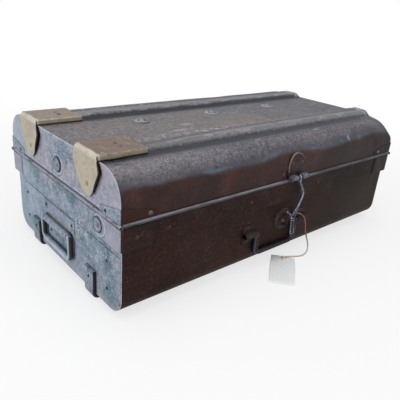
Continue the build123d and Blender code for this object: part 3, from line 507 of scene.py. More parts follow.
def lidTin():
    # dark red-brown walls under a wavy line; above it grey-brown and pebbled, the dark paint with a painted reflection
    # of light from above; painted shade and highlights on the ribs, painted glints, rubs and rust
    s = Recipe("lidTin", lidPaint, IOR=1.5, Specular_IOR_Level=0.2)
    cloud = s.noise(13, 3, 0.6)
    pebble = s.noise(470, 3, 0.7)
    coarse = s.noise(170, 4, 0.7, (6, 6, 2))
    # the wavy line where the painted reflection of light from above gives way to the dark wall
    wavy = (s.x * 29.2).wave() * 0.003
    above = s.z - (lidPaint["line"] + wavy + (cloud - 0.5) * 0.012 + (pebble - 0.5) * 0.006)
    onShoulder = (abs(s.y) - 0.098).rise(0, 0.014)
    tone = s.coats(
        s.mix("brown", "slate", (s.noise(8, 3, 0.6, (8, 3, 0)) + s.x * 0.3).rise(0.42, 0.66)),
        ("warm", s.patches(17, 4, 0.6, 0.5, 0.62, (3, 1, 0)) * 0.7),
        # the shoulder's painted reflection, paler to the left
        (s.mix("shoulder", "shoulderPale", s.x.rise(-0.08, -0.22)), onShoulder * 0.8),
        ("shade", (s.x * 2.2 + 0.5 + (s.noise(10, 3, 0.6, (2, 9, 4)) - 0.5) * 1.6).rise(0.25, 1) * 0.5),
        ("russet", s.patches(330, 3, 0.7, 0.54, 0.68, (9, 9, 1)) * onShoulder * 0.5),
        # the pebbled skin: dark pits, and light dots that are painted glints
        ("pit", pebble.rise(0.5, 0.38) * 0.6 + coarse.rise(0.48, 0.36) * 0.4),
        ("dot", pebble.rise(0.54, 0.68) * 0.4 + coarse.rise(0.54, 0.66) * 0.25),
        ("dot", s.cells(360).rise(0.4, 0.2) * s.patches(24, 4, 0.65, 0.42, 0.6, (1, 2, 3)) * 0.32),
        # painted shade where the reflection fades towards the line, and a bluish painted highlight just above it
        ("low", above.rise(0.016, 0.003) * (0.62 + 0.25 * cloud.rise(0.4, 0.6))),
        ("band", above.band(0.0005, 0.0022, 0.0058, 0.0034) * s.patches(26, 3, 0.6, 0.47, 0.6, (5, 0, 7)) * 0.6))
    fine = s.noise(240, 4, 0.75, (2, 2, 5))
    wall = s.coats(
        s.mix("wallDark", "wall", s.patches(22, 5, 0.65, 0.3, 0.7)),
        ("wallRed", s.patches(19, 4, 0.6, 0.5, 0.7, (4, 4, 1)) * (0.7 - s.x * 2).rise(0.2, 1) * 0.6),
        ("wallGrey", s.patches(60, 4, 0.7, 0.52, 0.74, stretch=(0.4, 1, 1)) * (s.x + 0.12).rise(0, 0.2) * 0.6),
        ("wallGrey", fine.rise(0.5, 0.66) * 0.25), ("wallDark", fine.rise(0.49, 0.36) * 0.6),
        ("wallRight", (s.x - 0.02 + (cloud - 0.5) * 0.3).rise(0, 0.12) * 0.75),
        # painted shade in corners and gaps
        ("wallDark", s.creviceShade(0.004)))
    top = above.rise(-0.0035, 0.0035)
    onTop = (s.z - 0.176).rise(0, 0.0006)
    front = s.y - s.y.maths("SIGN", s.y) * lidPaint["ribMiddle"] + (coarse - 0.5) * 0.006
    isRear = s.y.rise(-0.001, 0.001)
    swerve = front + (-0.05 - s.x).most(0) * 0.06 * (1 - isRear)

    def step(name, across=front):
        low, high, lowMore, highMore = lidPaint["ribSteps"][name]
        return across.rise(low + isRear * lowMore, high + isRear * highMore)

    # painted shade on the rib's front flank and beyond its foot; behind: painted shade on its rear flank
    foot = step("foot") * (step("footEnd") * (0.7 + isRear * 0.3) + front.rise(-0.058, -0.034) * (0.3 - isRear * 0.3))
    behind = front.band(0.012, 0.0165, 0.0232, 0.02)
    edge = front.band(-0.0085, -0.0115, -0.0165, -0.0135) * onTop
    dusty = front.band(-0.001, 0.003, 0.03, 0.012) * onTop * (0.1 - s.x * 3).rise(-0.2, 0.4)
    rubsAndGlints = edge * s.patches(120, 4, 0.7, 0.48, 0.66, stretch=(0.3, 1, 1)) * 0.6
    # small flecks as painted glints, stronger above the line
    rubsAndGlints = rubsAndGlints.most(s.flecks(300, 0.22, 0.16) * (0.3 + 0.7 * top) * 0.3)
    rubsAndGlints = rubsAndGlints.most(dusty * s.patches(150, 4, 0.7, 0.54, 0.62, (2, 3, 9)))
    lastBit = (abs(s.x) - 0.246).rise(0, 0.008) * abs(abs(s.y) - lidPaint["ribMiddle"]).rise(0.024, 0.012)
    lastBit = lastBit * s.patches(90, 3, 0.6, 0.42, 0.56) * onTop
    tone = s.coats(
        s.mix(wall, tone, top),
        # over the wall: the crown's painted highlight, painted shade on the rear rib, on the flanks and in crease
        # lines, then rubs and glints
        ("crown", step("crest", swerve) * step("crestEnd") * onTop * (0.58 + isRear * 0.02)),
        ("low", isRear * front.band(-0.001, 0.006, 0.013, 0.0115) * onTop * 0.6),
        ("foot", (foot * 0.96).most(behind * 0.7) * onTop),
        ("low", step("crease", swerve) * step("creaseEnd", swerve) * onTop * 0.7),
        ("bare", rubsAndGlints.most(lastBit) * 0.65))
    for x, y, z, wide, high, shade in lidPaint["marks"]:
        # single marks, among them painted shade and painted highlights of dents: an oval of one shade, broken up by the
        # pebbles
        oval = s.away(x, y, z, (wide, high, high))
        tone = s.mix(tone, shade, (oval + (pebble + coarse - 1) * 4).rise(0.9, 0.4) * 0.7)
    for x, y in lidPaint["rivets"]:
        # a painted ring round a rivet's washer: painted highlight on the left and painted shade on the right
        ring = s.away(x, y).band(0.009, 0.0096, 0.0116, 0.0104) * onTop
        tone = s.mix(tone, s.mix("bare", "foot", (s.x - x - s.y + y).rise(-0.004, 0.006)), ring * 0.6)
    rust = s.patches(30, 6, 0.7, 0.62, 0.74, (7, 2, 5)) * 0.55
    # the rolled bead: patchy tone, a pale upper side that is partly wear and partly painted highlight, and painted
    # shade on its underside
    roll = s.coats(
        s.mix("rollDark", "roll", s.patches(110, 4, 0.6, 0.34, 0.6, stretch=(0.25, 1, 1))),
        ("rollWornAndLit", s.z.rise(0.1218, 0.1234) * s.patches(60, 3, 0.6, 0.3, 0.56, stretch=(0.3, 1, 1)) * 0.8),
        ("rollFar", s.x.rise(0, 0.1) * s.z.rise(0.1218, 0.123) * 0.7),
        ("rollDark", s.z.rise(0.121, 0.1202) * 0.8))
    onRoll = (abs(s.y) - 0.1453).rise(0, 0.0004) * s.z.rise(0.1248, 0.1242)
    tone = withInside(s, s.coats(tone, ("rust", rust), (roll, onRoll)))
    bumps = [(s.noise(7, 1, 0.4, (1, 5, 2)), 1, 0.012), (pebble, 0.25 + 0.5 * top, 0.0009)]
    return s.finish(tone, 0.46 + 0.2 * pebble + rust * 0.25 - top * 0.04, bumps)


endPaint = dict(
    # teal and grey stand for the dark paint under a painted reflection of bluish light; rollDark, line and gap are
    # painted shade, pit is both pits and painted shade
    teal=(88, 112, 124), grey=(134, 142, 157), lilac=(164, 155, 167), dark=(58, 76, 88),
    pale=(192, 200, 210), rust=(112, 90, 86), pit=(38, 40, 46), roll=(150, 150, 160),
    rollDark=(54, 56, 64), line=(54, 60, 70), rear=(166, 184, 198), dust=(214, 222, 226),
    gap=(16, 14, 18),
)


def endTone(s, shift, lilacShare):
    # teal-grey that is the dark paint with a painted reflection of bluish light from the left, under lilac dust: broad
    # patches, a close mottle of light and dark grains, a few flakes and pits, and painted shade in corners and gaps
    s.paint = endPaint
    mottle = s.noise(115, 4, 0.7, shift)
    grain = s.noise(400, 4, 0.75, shift)
    flakes, pits = s.flecks(75, 0.34, 0.1, shift), s.flecks(210, 0.2, 0.12, (5, 5, 5))
    tone = s.coats(
        s.mix("teal", "grey", s.patches(19, 5, 0.62, 0.42, 0.54, shift)),
        ("lilac", (s.noise(15, 5, 0.65, (shift[0] + 4, shift[1], 2)) + lilacShare).rise(0.52, 0.66) * 0.8),
        ("dark", mottle.rise(0.48, 0.38) * 0.42), ("pale", mottle.rise(0.53, 0.66) * 0.38),
        ("dark", grain.rise(0.48, 0.36) * 0.5), ("pale", grain.rise(0.53, 0.66) * 0.5),
        ("dark", s.patches(80, 4, 0.6, 0.56, 0.68, shift, (1, 1, 0.5)) * 0.25),
        # painted shade in corners and gaps
        ("rust", flakes * 0.4), ("pit", pits * 0.6), ("pit", s.creviceShade(0.0035) * 0.62))
    return tone, mottle * 0.6 + grain * 0.5 - flakes * 0.4 - pits


def endTin(name, shift, lilacShare, rim=None, soft=0.0006, roll=False, rings=(), caps=()):
    # an end in worn teal-grey, the dark paint under a painted reflection, paler along its rim and its sharp edges
    s = Recipe(name, endPaint, IOR=1.5, Specular_IOR_Level=0.35)
    tone, relief = endTone(s, shift, lilacShare)
    worn = s.wornEdges(0.0012) * 0.7
    if rim is not None:
        inside = s.fromRim(*rim)
        tone = s.mix(tone, "lilac", inside.rise(0.016, 0.001) * s.patches(50, 4, 0.7, 0.34, 0.6, shift) * 0.5)
        worn = worn.most(inside.rise(0.0016, 0.0006) * 0.45)
    broken = s.patches(200, 3, 0.6, 0.3, 0.5)
    nearFront = s.y.rise(-0.085, -0.11) * s.z.rise(0.088, 0.096) * s.patches(60, 4, 0.7, 0.36, 0.56, shift)
    tone = s.coats(
        tone, ("pale", worn * broken), ("rear", s.y.rise(0.05, 0.13) * 0.35), ("lilac", nearFront * 0.55),
        ("dust", s.flecks(420, 0.42, 0.3, (3, 1, 1)) * s.away(y=-0.052, z=0.079).rise(0.026, 0.008) * 0.95))
    for y, z, outer in rings:
        # two thin circles pressed round a rivet's washer
        for radius in (outer, outer * 0.55):
            off = s.away(y=y, z=z) - radius
            tone = s.coats(tone, ("dark", (off - 0.0014).band(-0.0011, 0, 0.0011, 0) * 0.55),
                           ("pale", off.band(-0.0013, -0.0003, 0.0011, 0.0001) * 0.6))
    if roll:
        # the bead: painted shade on its underside, lighter above, with pits; a pale broken strip and a dark line of
        # painted shade on the plate just above it
        worm = s.noise(120, 4, 0.7, (1, 4, 4), (1, 0.5, 1))
        bead = s.mix("rollDark", "roll", (s.z - 0.1217 + (worm - 0.5) * 0.004).rise(-0.0006, 0.0014))
        bead = s.mix(bead, "pit", worm.rise(0.46, 0.38) * 0.6)
        tone = s.coats(
            tone, ("pale", s.z.rise(0.129, 0.1275) * broken * 0.4), ("line", s.z.rise(0.1268, 0.1256) * 0.8),
            (bead, (abs(s.x) - 0.2624).rise(0, 0.0004) * s.z.rise(0.1248, 0.1242) * 0.9))
    for centre in caps:
        # painted shade in the gap where the front edge of a cap's flap stands off: right up to the flap's three
        # straight sides
        side, depth = s.y - (centre + 0.026), 0.1846 - s.z
        edge = (-0.052 - depth * 0.37).most((depth - 0.0175) * 0.588 - 0.0585).most((depth - 0.043) * 1.6 - 0.0435)
        gap = (side - edge).band(0.0008, 0.0024, 0.016, 0.012) * depth.band(0.007, 0.011, 0.052, 0.049)
        tone = s.mix(tone, "gap", gap * 0.95)
    bumps = [(s.noise(10, 1.5, 0.4, (4, 2, 7)), 1, 0.01), (relief, 0.6, 0.0005)]
    return s.finish(withInside(s, tone), 0.54 + 0.1 * relief, bumps, soft)


wallPaint = dict(
    # gap is painted shade in corners and gaps
    tone=(47, 26, 21), dark=(29, 15, 12), purple=(58, 37, 37), grey=(84, 77, 70), line=(78, 64, 60),
    rust=(92, 50, 35), bare=(140, 134, 130), olive=(36, 27, 23), right=(22, 16, 13), gap=(16, 9, 8),
    cornerRight=(34, 26, 23),
)


def wallTone(s, shift):
    # nearly black-brown lacquer with faint scrapes, grey dust towards the right, rust and specks, and painted shade in
    # corners and gaps
    s.paint = wallPaint
    scrapes = s.noise(90, 4, 0.7, shift, (0.2, 1, 1))
    grain = s.noise(430, 4, 0.7)
    fine = s.noise(240, 4, 0.75, (shift[1], 2, 5))
    dust = (s.x - 0.05).rise(0, 0.2) * s.patches(20, 3, 0.6, 0.35, 0.6, (6, 1, 3))
    blots = s.patches(30, 3, 0.6, 0.55, 0.7, (7, 7, 4), (1.6, 1, 0.6)) * (s.x - 0.04).rise(0, 0.1)
    shade = s.coats(
        s.mix("dark", "tone", s.patches(12, 5, 0.6, 0.32, 0.66, shift)),
        ("purple", s.patches(45, 4, 0.65, 0.5, 0.68, (shift[0], 3, 8)) * 0.5),
        ("grey", dust * 0.28 + scrapes.rise(0.6, 0.76) * 0.25 + fine.rise(0.5, 0.66) * 0.2),
        ("dark", fine.rise(0.49, 0.36) * 0.6),
        ("rust", s.patches(34, 6, 0.7, 0.6, 0.72, (9, 2, 5)) * 0.35),
        ("olive", (s.x + 0.02 + (scrapes - 0.5) * 0.3).rise(0, 0.16) * 0.7),
        ("right", s.z.rise(0.088, 0.096) * s.x.rise(0.02, 0.14) * 0.6),
        # painted shade in corners and gaps
        ("grey", blots * 0.25), ("gap", s.creviceShade(0.004)),
        ("bare", s.flecks(240, 0.14, 0.12, (1, 1, 8)) * 0.55))
    return shade, grain * 0.5 + scrapes * 0.5


def wallTin(name, shift, cover=None):
    # wall lacquer with its sharp edges rubbed
    s = Recipe(name, wallPaint, IOR=1.5, Specular_IOR_Level=0.1)
    shade, relief = wallTone(s, shift)
    shade = s.mix(shade, "line", s.wornEdges(0.0012) * s.patches(120, 3, 0.6, 0.36, 0.56) * 0.6)
    bumps = [(s.noise(8, 1.5, 0.4, (2, 8, 3)), 1, 0.01)]
    if cover is not None:
        # an oval cover, painted over, that stands a little off the front, with a painted highlight on the left of its
        # rim
        x, z, wide, high = cover
        oval = (((s.x - x + (s.z - z) * 0.35) / wide) ** 2 + ((s.z - z) / high) ** 2) ** 0.5
        onFront = s.y.rise(-0.1405, -0.1412)
        ring = oval.band(0.84, 0.97, 1.12, 1) * onFront
        shade = s.coats(shade, ("dark", oval.rise(1.25, 0.9) * onFront * 0.6),
                        ("line", ring * (x - s.x).rise(-0.004, 0.008) * 0.5))
        bumps.append((oval.rise(1.05, 0.8) * onFront, 0.7, 0.0018))
    bumps.append((relief, 0.4, 0.0004))
    return s.finish(withInside(s, shade), 0.48 + 0.2 * relief, bumps, 0.0008)


def cornerTin(name, shift):
    # a plate round a corner: wall colour along the long side, end colour on the end, its cut edges rubbed
    s = Recipe(name, IOR=1.5, Specular_IOR_Level=0.14)
    shade, wallRelief = wallTone(s, shift)
    onLid = s.z.rise(0.1215, 0.124)
    shade = s.coats(shade, (lidPaint["wall"], onLid * 0.8),
                    (wallPaint["cornerRight"], s.x.rise(0.02, 0.14) * onLid * 0.8))
    tone, endRelief = endTone(s, shift, 0)
    dusty = s.z.rise(0.1215, 0.1195) * s.patches(60, 4, 0.7, 0.34, 0.52, shift)
    tone = s.mix(tone, endPaint["lilac"], dusty * 0.6)
    onEnd = (abs(s.x) - 0.2616).rise(0, 0.0006)
    worn = s.wornEdges(0.0011) * s.patches(120, 3, 0.6, 0.3, 0.5)
    worn = worn * (s.z.rise(0.119, 0.1215) * 0.4 + s.x.rise(0, 0.1) * 0.4 + 0.35)
    mixed = s.mix(s.mix(shade, tone, onEnd), s.mix(wallPaint["line"], endPaint["pale"], onEnd), worn)
    bumps = [(s.noise(14, 1.5, 0.4, shift), 1, 0.008), (wallRelief + endRelief, 0.35, 0.0004)]
    return s.finish(mixed, 0.54 + 0.12 * wallRelief, bumps, 0.0007)


fittingPaint = dict(
    # frontSide, dome, hole and the dark underside colour are painted shade; glint is a painted highlight
    frontSide=(30, 26, 28), dome=(34, 36, 42), glint=(196, 206, 214), hole=(40, 36, 38),
    frontAndUnderShade=(26, 22, 24), onFront=(52, 36, 33),
)


def fittingSteel(name, tone, dark, bare, rust, rough=0.5, metal=0.3, ends=True, worn=0.6, under=0, dots=False,
                 rings=()):
    # small steel fittings: worn lacquer over dull metal, brighter where they are rubbed, lacquered over on the ends
    s = Recipe(name, Metallic=metal, IOR=1.5, Specular_IOR_Level=0.3)
    p = fittingPaint
    grain = s.noise(420, 4, 0.65)
    broad = s.noise(70, 4, 0.6)
    shade = s.coats(
        s.mix(dark, tone, broad.rise(0.35, 0.62)), (bare, grain.rise(0.58, 0.72) * 0.45),
        (rust, s.patches(110, 5, 0.7, 0.58, 0.7, (3, 3, 3)) * 0.6))
    if ends:
        onEnd = (abs(s.x) - 0.2575).rise(0, 0.001)
        # on the ends: the end's colour, with painted shade on faces turned to the front
        shade = s.coats(shade, (endTone(s, (1, 1, 4), 0)[0], onEnd * 0.95),
                        (p["frontSide"], onEnd * s.facing(1, -0.4, -0.75) * 0.95))
    shade = s.mix(shade, bare, s.wornEdges(0.0009) * broad.rise(0.3, 0.5) * worn)
    if dots:
        # rivets on the ends: domes painted dark as shade, with a painted highlight on the upper rear side, except those
        # on washers
        free = s.away(y=0, z=0.1432).least(s.away(y=-0.098, z=0.105)).rise(0.007, 0.009) * onEnd
        shade = s.coats(shade, (p["dome"], free * 0.9),
                        (p["glint"], free * s.facing(2, 0.1, 0.5) * s.facing(1, -0.1, 0.3)))
    for x, y in rings:
        # a washer on the top: painted highlights on the rim and near the rivet, brighter on the left, and painted shade
        # in the hollow and on the rivet's right side
        away = s.away(x, y)
        onWasher = away.rise(0.0102, 0.0098)
        lit = (away.rise(0.0074, 0.0082) + away.rise(0.0052, 0.0044) * 0.3) * onWasher
        shade = s.coats(
            shade, (dark, onWasher * away.band(0.0048, 0.0056, 0.0078, 0.007)),
            (bare, lit * (0.7 - (s.x - x).rise(0, 0.007) * 0.5)),
            (p["hole"], away.rise(0.0044, 0.0036) * (s.x - x).rise(-0.0005, 0.002)))
    if not ends:
        # painted highlight on faces turned to the left
        shade = s.mix(shade, bare, s.facing(0, -0.4, -0.9) * 0.45)
    if under:
        # painted shade on the side turned to the front and on the underside
        shade = s.mix(shade, p["frontAndUnderShade"], s.facing(1, -0.25, -0.8).most(s.facing(2, -0.55, -0.9) * 0.7) * under)
    if ends:
        shade = s.mix(shade, p["onFront"], s.y.rise(-0.141, -0.1416) * s.z.rise(0.1195, 0.1185) * 0.8)
    return s.finish(shade, rough + 0.2 * grain, [(grain, 0.4, 0.0003)], 0.0005)


tiePaint = dict(
    # bright is a painted highlight, right and gap are painted shade
    dark=(58, 54, 70), wire=(108, 108, 136), bright=(196, 200, 220), right=(36, 27, 29),
    rear=(66, 52, 54), gap=(20, 15, 16),
)


def tieSteel():
    # bare bluish wire with a painted highlight on its left and painted shade on its right, browner where the rear half
    # runs, and painted shade in its gaps
    s = Recipe("tieSteel", tiePaint, Metallic=0.5, IOR=1.5)
    shade = s.coats(
        s.mix("dark", "wire", s.patches(240, 3, 0.6, 0.38, 0.6)),
        ("bright", s.facing(0, -0.5, -0.9) * (0.2 + 0.45 * s.z.rise(0.064, 0.07))),
        ("right", s.facing(0, -0.15, 0.3)), ("rear", s.y.rise(-0.153, -0.1512) * 0.75),
        ("gap", s.creviceShade(0.002) * 0.7))
    return s.finish(shade, 0.3 + 0.1 * s.noise(300, 2, 0.5), [(s.noise(500, 3, 0.6), 0.3, 0.0002)])


haspPaint = dict(
    # rim is a painted highlight, under is painted shade
    plate=(52, 38, 36), plateDark=(34, 23, 22), fleck=(92, 82, 80), rim=(132, 122, 116),
    bareDark=(66, 64, 74), bare=(106, 110, 126), rust=(104, 72, 66), under=(26, 20, 22),
    middle=(0.012, 0.1417),
)


def haspSteel():
    # the plate is lacquered like the wall with a painted highlight on the left of its rim; the knuckles and the pin
    # under it are bare and bluish, with painted shade on their undersides
    s = Recipe("haspSteel", haspPaint, Metallic=0.15, IOR=1.5, Specular_IOR_Level=0.2)
    x, z = haspPaint["middle"]
    # worn: a painted highlight along the left of the plate's rim, broken up
    worn = s.away(x=x, z=z).rise(0.0153, 0.0164) * s.z.rise(0.13, 0.136) * s.patches(110, 3, 0.6, 0.3, 0.44)
    plate = s.coats(
        s.mix("plate", "plateDark", s.patches(80, 4, 0.6, 0.4, 0.6)),
        ("fleck", s.flecks(200, 0.2, 0.14) * 0.6), ("rim", worn * (x - s.x).rise(-0.022, 0.006) * 0.75))
    bare = s.coats(
        s.mix("bareDark", "bare", s.patches(160, 4, 0.6, 0.4, 0.6)),
        ("rust", s.patches(90, 3, 0.6, 0.5, 0.62, (2, 2, 2)) * 0.8), ("under", s.facing(2, -0.2, -0.8)))
    low = s.z.rise(0.1312, 0.1304) * s.y.rise(-0.1478, -0.1486)
    return s.finish(s.mix(plate, bare, low), 0.5 - low * 0.12, [(s.noise(300, 3, 0.6), 0.3, 0.0003)], 0.0006)


brassPaint = dict(
    # bright serves painted highlights on the folds and also scratches; rim is painted shade
    flap=(176, 166, 146), top=(108, 90, 80), topRear=(126, 112, 102), side=(142, 128, 104),
    dark=(92, 78, 64), bright=(220, 216, 204), green=(148, 156, 138), pink=(164, 140, 128),
    rim=(44, 36, 32),
)


def agedBrass(name):
    # tarnished brass: brown on top, khaki on the flap and the sides, painted highlights along the folds, blotched and
    # scratched, painted shade in crevices and on the flap's front side
    s = Recipe(name, brassPaint, Metallic=0.25, IOR=1.5, Specular_IOR_Level=0.35)
    grain = s.noise(600, 3, 0.6)
    level = s.z + (s.noise(80, 3, 0.6) - 0.5) * 0.0014
    onTop = level.rise(0.183, 0.1838) * (s.x + 0.2605).rise(-0.001, 0.001)
    sideFold = (abs(abs(s.y) - 0.077) - 0.0256).rise(-0.0014, 0) * level.rise(0.1822, 0.1836)
    endFold = s.x.rise(-0.258, -0.2612) * s.z.rise(0.178, 0.181)
    endFold = (endFold + s.x.rise(-0.2045, -0.2022) * level.rise(0.1828, 0.1836)).least(1)
    shade = s.coats(
        s.mix("flap", "green", s.patches(60, 4, 0.65, 0.52, 0.68, (7, 4, 1)) * 0.5),
        ("pink", s.patches(48, 4, 0.6, 0.48, 0.64, (1, 9, 3)) * 0.6),
        ("side", (s.x + 0.2615).rise(0, 0.001) * 0.6),
        (s.mix("top", "topRear", s.y.rise(-0.02, 0.02)), onTop),
        ("dark", s.patches(90, 5, 0.7, 0.56, 0.74, (2, 2, 6)) * 0.4),
        # painted highlights along the folds
        ("bright", sideFold.most(endFold) * s.patches(90, 4, 0.7, 0.28, 0.62) * 0.42),
        ("dark", s.patches(260, 3, 0.7, 0.54, 0.66, (8, 8, 8)) * 0.3),
        # painted shade in crevices
        ("rim", s.creviceShade(0.0025) * 0.8),
        ("bright", s.patches(220, 3, 0.6, 0.62, 0.72, (3, 3, 3), (1, 0.15, 1)) * 0.3),
        # painted shade on the flap's side turned to the front
        ("rim", s.facing(1, -0.2, -0.5) * s.x.rise(-0.2606, -0.2612) * s.z.rise(0.18, 0.178)))
    bumps = [(s.noise(60, 2, 0.5), 0.5, 0.001), (grain, 0.3, 0.0002)]
    return s.finish(shade, 0.44 + 0.14 * grain, bumps, 0.0006)


lidTinSkin = lidTin()
lidRim, baseRim = (0.145, 0.033, 0.1778, True), (0.1416, 0.022, 0.006, False)
leftEndTin = endTin("leftEndTin", (0, 0, 0), -0.06, baseRim)
leftCollarTin = endTin("leftCollarTin", (2, 6, 1), 0, rings=[(-0.101, 0.105, 0.0125)])
leftLidEndTin = endTin("leftLidEndTin", (3, 7, 1), 0.12, lidRim, 0, True, [(0, 0.1432, 0.0125)], (-0.077, 0.077))
rightEndTin = endTin("rightEndTin", (8, 3, 2), -0.06, baseRim)
rightLidEndTin = endTin("rightLidEndTin", (6, 1, 9), 0.05, lidRim, 0, True)
collarTin = wallTin("collarTin", (2, 0, 0))
baseTin = wallTin("baseTin", (0, 4, 0), (-0.025, 0.0825, 0.011, 0.016))
cornerSkin = cornerTin("cornerTin", (5, 5, 0))
darkSteel = fittingSteel("darkSteel", (70, 58, 58), (42, 32, 32), (124, 122, 128), (84, 56, 44))
handleSteel = fittingSteel("handleSteel", (150, 164, 177), (112, 128, 142), (186, 197, 206), (112, 96, 94), 0.42, 0.1,
                           False, 0.4, 0.95)
frontSteel = fittingSteel("frontSteel", (40, 26, 23), (28, 18, 16), (58, 48, 46), (52, 32, 26), 0.64, 0, False, 0.08)
lockSteel = fittingSteel("lockSteel", (52, 42, 40), (36, 27, 25), (96, 92, 98), (58, 40, 34), 0.6, 0, False, 0.2)
bailSteel = fittingSteel("bailSteel", (44, 38, 44), (24, 18, 20), (98, 104, 118), (56, 38, 34), 0.36, 0.5, False, 0.3)
rivetSteel = fittingSteel("rivetSteel", (84, 76, 76), (46, 38, 38), (150, 148, 152), (88, 58, 44), worn=0.9, dots=True)
topSteel = fittingSteel("topSteel", (112, 110, 114), (62, 58, 62), (190, 200, 210), (104, 78, 64), dots=True,
                        rings=lidPaint["rivets"])
wireSteel = tieSteel()
capBrass = agedBrass("capBrass")
rivetBrass = fittingSteel("rivetBrass", (112, 92, 74), (70, 56, 44), (176, 164, 140), (84, 60, 44), 0.45, 0.3, False)
haspSkin = haspSteel()
print("finishes made")


finishOf = {   # the first of these that a node's name holds gives its finish; what is left is dark steel
    "corner": cornerSkin, "lid_wrap": lidTinSkin, "lid_end_left": leftLidEndTin, "lid_end_right": rightLidEndTin,
    "base_wrap": baseTin, "end_left": leftEndTin, "plate_left": leftEndTin, "end_right": rightEndTin,
    "plate_right": rightEndTin, "left_handle_plate": leftEndTin, "right_handle_plate": rightEndTin,
    "collar_front": collarTin, "collar_rear": collarTin,
    "front_handle_bail": bailSteel, "front_handle_clip": frontSteel, "handle_bail": handleSteel,
    "lock_plate": lockSteel, "lock": frontSteel, "hasp_rivets": darkSteel, "hasp": haspSkin,
    "brass_cap": capBrass, "cap_rivets": rivetBrass, "lid_washers": topSteel, "lid_rivets": topSteel,
    "rivets": rivetSteel, "washers": rivetSteel, "collar_": leftCollarTin, "tie_wire": wireSteel, "": darkSteel,
}
for nodeName, piece in cadNodes.items():
    if nodeName not in ("twine_knots", "paper_ticket", "jute_twine"):
        piece.data.materials.clear()
        piece.data.materials.append(next(finish for part, finish in finishOf.items() if part in nodeName))


lidForm = dict(   # metres; dents are place, size, depth
    thick=0.0008, reach=0.2611, rollReach=0.2599, half=0.1446, top=0.1774, edge=0.0326,
    ribOffset=0.077, ribFoot=0.021, ribCrown=0.0115, ribHeight=0.006, footBend=0.003,
    crownBend=0.0022, rollY=0.1456, rollZ=0.1217, rollRadius=0.002, curlFrom=75, stations=190,
    wave=0.0005,
    dents=[
        ((0.115, -0.138, 0.162), (0.016, 0.02, 0.006), 0.0016), ((0.15, -0.137, 0.166), (0.01, 0.02, 0.007), 0.0022),
        ((0.178, -0.136, 0.164), (0.014, 0.02, 0.006), 0.0014), ((0.065, -0.141, 0.157), (0.02, 0.02, 0.005), 0.0012),
        ((-0.03, -0.139, 0.16), (0.03, 0.02, 0.006), 0.001), ((-0.12, -0.141, 0.155), (0.03, 0.02, 0.006), 0.0008),
        ((0.205, -0.144, 0.145), (0.01, 0.02, 0.008), 0.0012), ((0.02, 0.142, 0.155), (0.03, 0.02, 0.01), 0.0014),
        ((-0.14, 0, 0.178), (0.03, 0.03, 0.02), 0.0005), ((0.18, 0.01, 0.178), (0.04, 0.03, 0.02), 0.0006),
        ((0.236, -0.108, 0.176), (0.01, 0.01, 0.01), 0.0022), ((-0.243, -0.104, 0.177), (0.012, 0.006, 0.01), 0.0016),
        ((0.253, -0.077, 0.184), (0.007, 0.012, 0.01), 0.0016), ((0.1, 0.13, 0.168), (0.02, 0.02, 0.01), 0.0012),
    ],
    pressed=dict(place=(0.266, -0.132, 0.168), size=(0.036, 0.034, 0.032), above=0.138, fade=0.028,
                 push=(-0.0056, 0, -0.007)),
)


def pressedIn(points):
    # the top corner at the front right is pushed in and down: a bell round it that fades out above the corner plate
    f = lidForm["pressed"]
    bell = np.exp(-np.sum(((points - f["place"]) / f["size"]) ** 2, -1))
    return points + (bell * soften((points[..., 2] - f["above"]) / f["fade"]))[..., None] * f["push"]


def overRib(half, top, rise, foot, crown):
    # (y, z) corners over half of the lid: its upper edge, up and down the rib, the middle; and the bends at the rib
    f = lidForm
    rib, high = f["ribOffset"], top + rise
    corners = [(-half, top), (-rib - foot, top), (-rib - crown, high), (-rib + crown, high), (-rib + foot, top)]
    corners += [(0, top)]
    return corners, [f["footBend"], f["crownBend"], f["crownBend"], f["footBend"]]


def lidProfile():
    # (y, z) of the middle of the sheet: curl, front wall, rounded edge, rib and half the top; then the same mirrored
    f = lidForm
    turn = np.radians(np.linspace(f["curlFrom"], 360, 30))
    curl = np.stack([-f["rollY"] + f["rollRadius"] * np.cos(turn), f["rollZ"] + f["rollRadius"] * np.sin(turn)], -1)
    inner = -f["rollY"] + f["rollRadius"]
    corners, bends = overRib(f["half"], f["top"], f["ribHeight"], f["ribFoot"], f["ribCrown"])
    corners = [curl[-1], (inner, f["rollZ"] + 0.0006), (-f["half"], f["rollZ"] + 0.0024), *corners]
    rest = roundedLine(corners, [0.0005, 0.0008, f["edge"], *bends], [0, 0, 9, 3, 2, 6, 2, 14], 12)
    part = np.vstack([curl[:-1], rest])
    return np.vstack([part, part[-2::-1] * (-1, 1)]), len(curl)


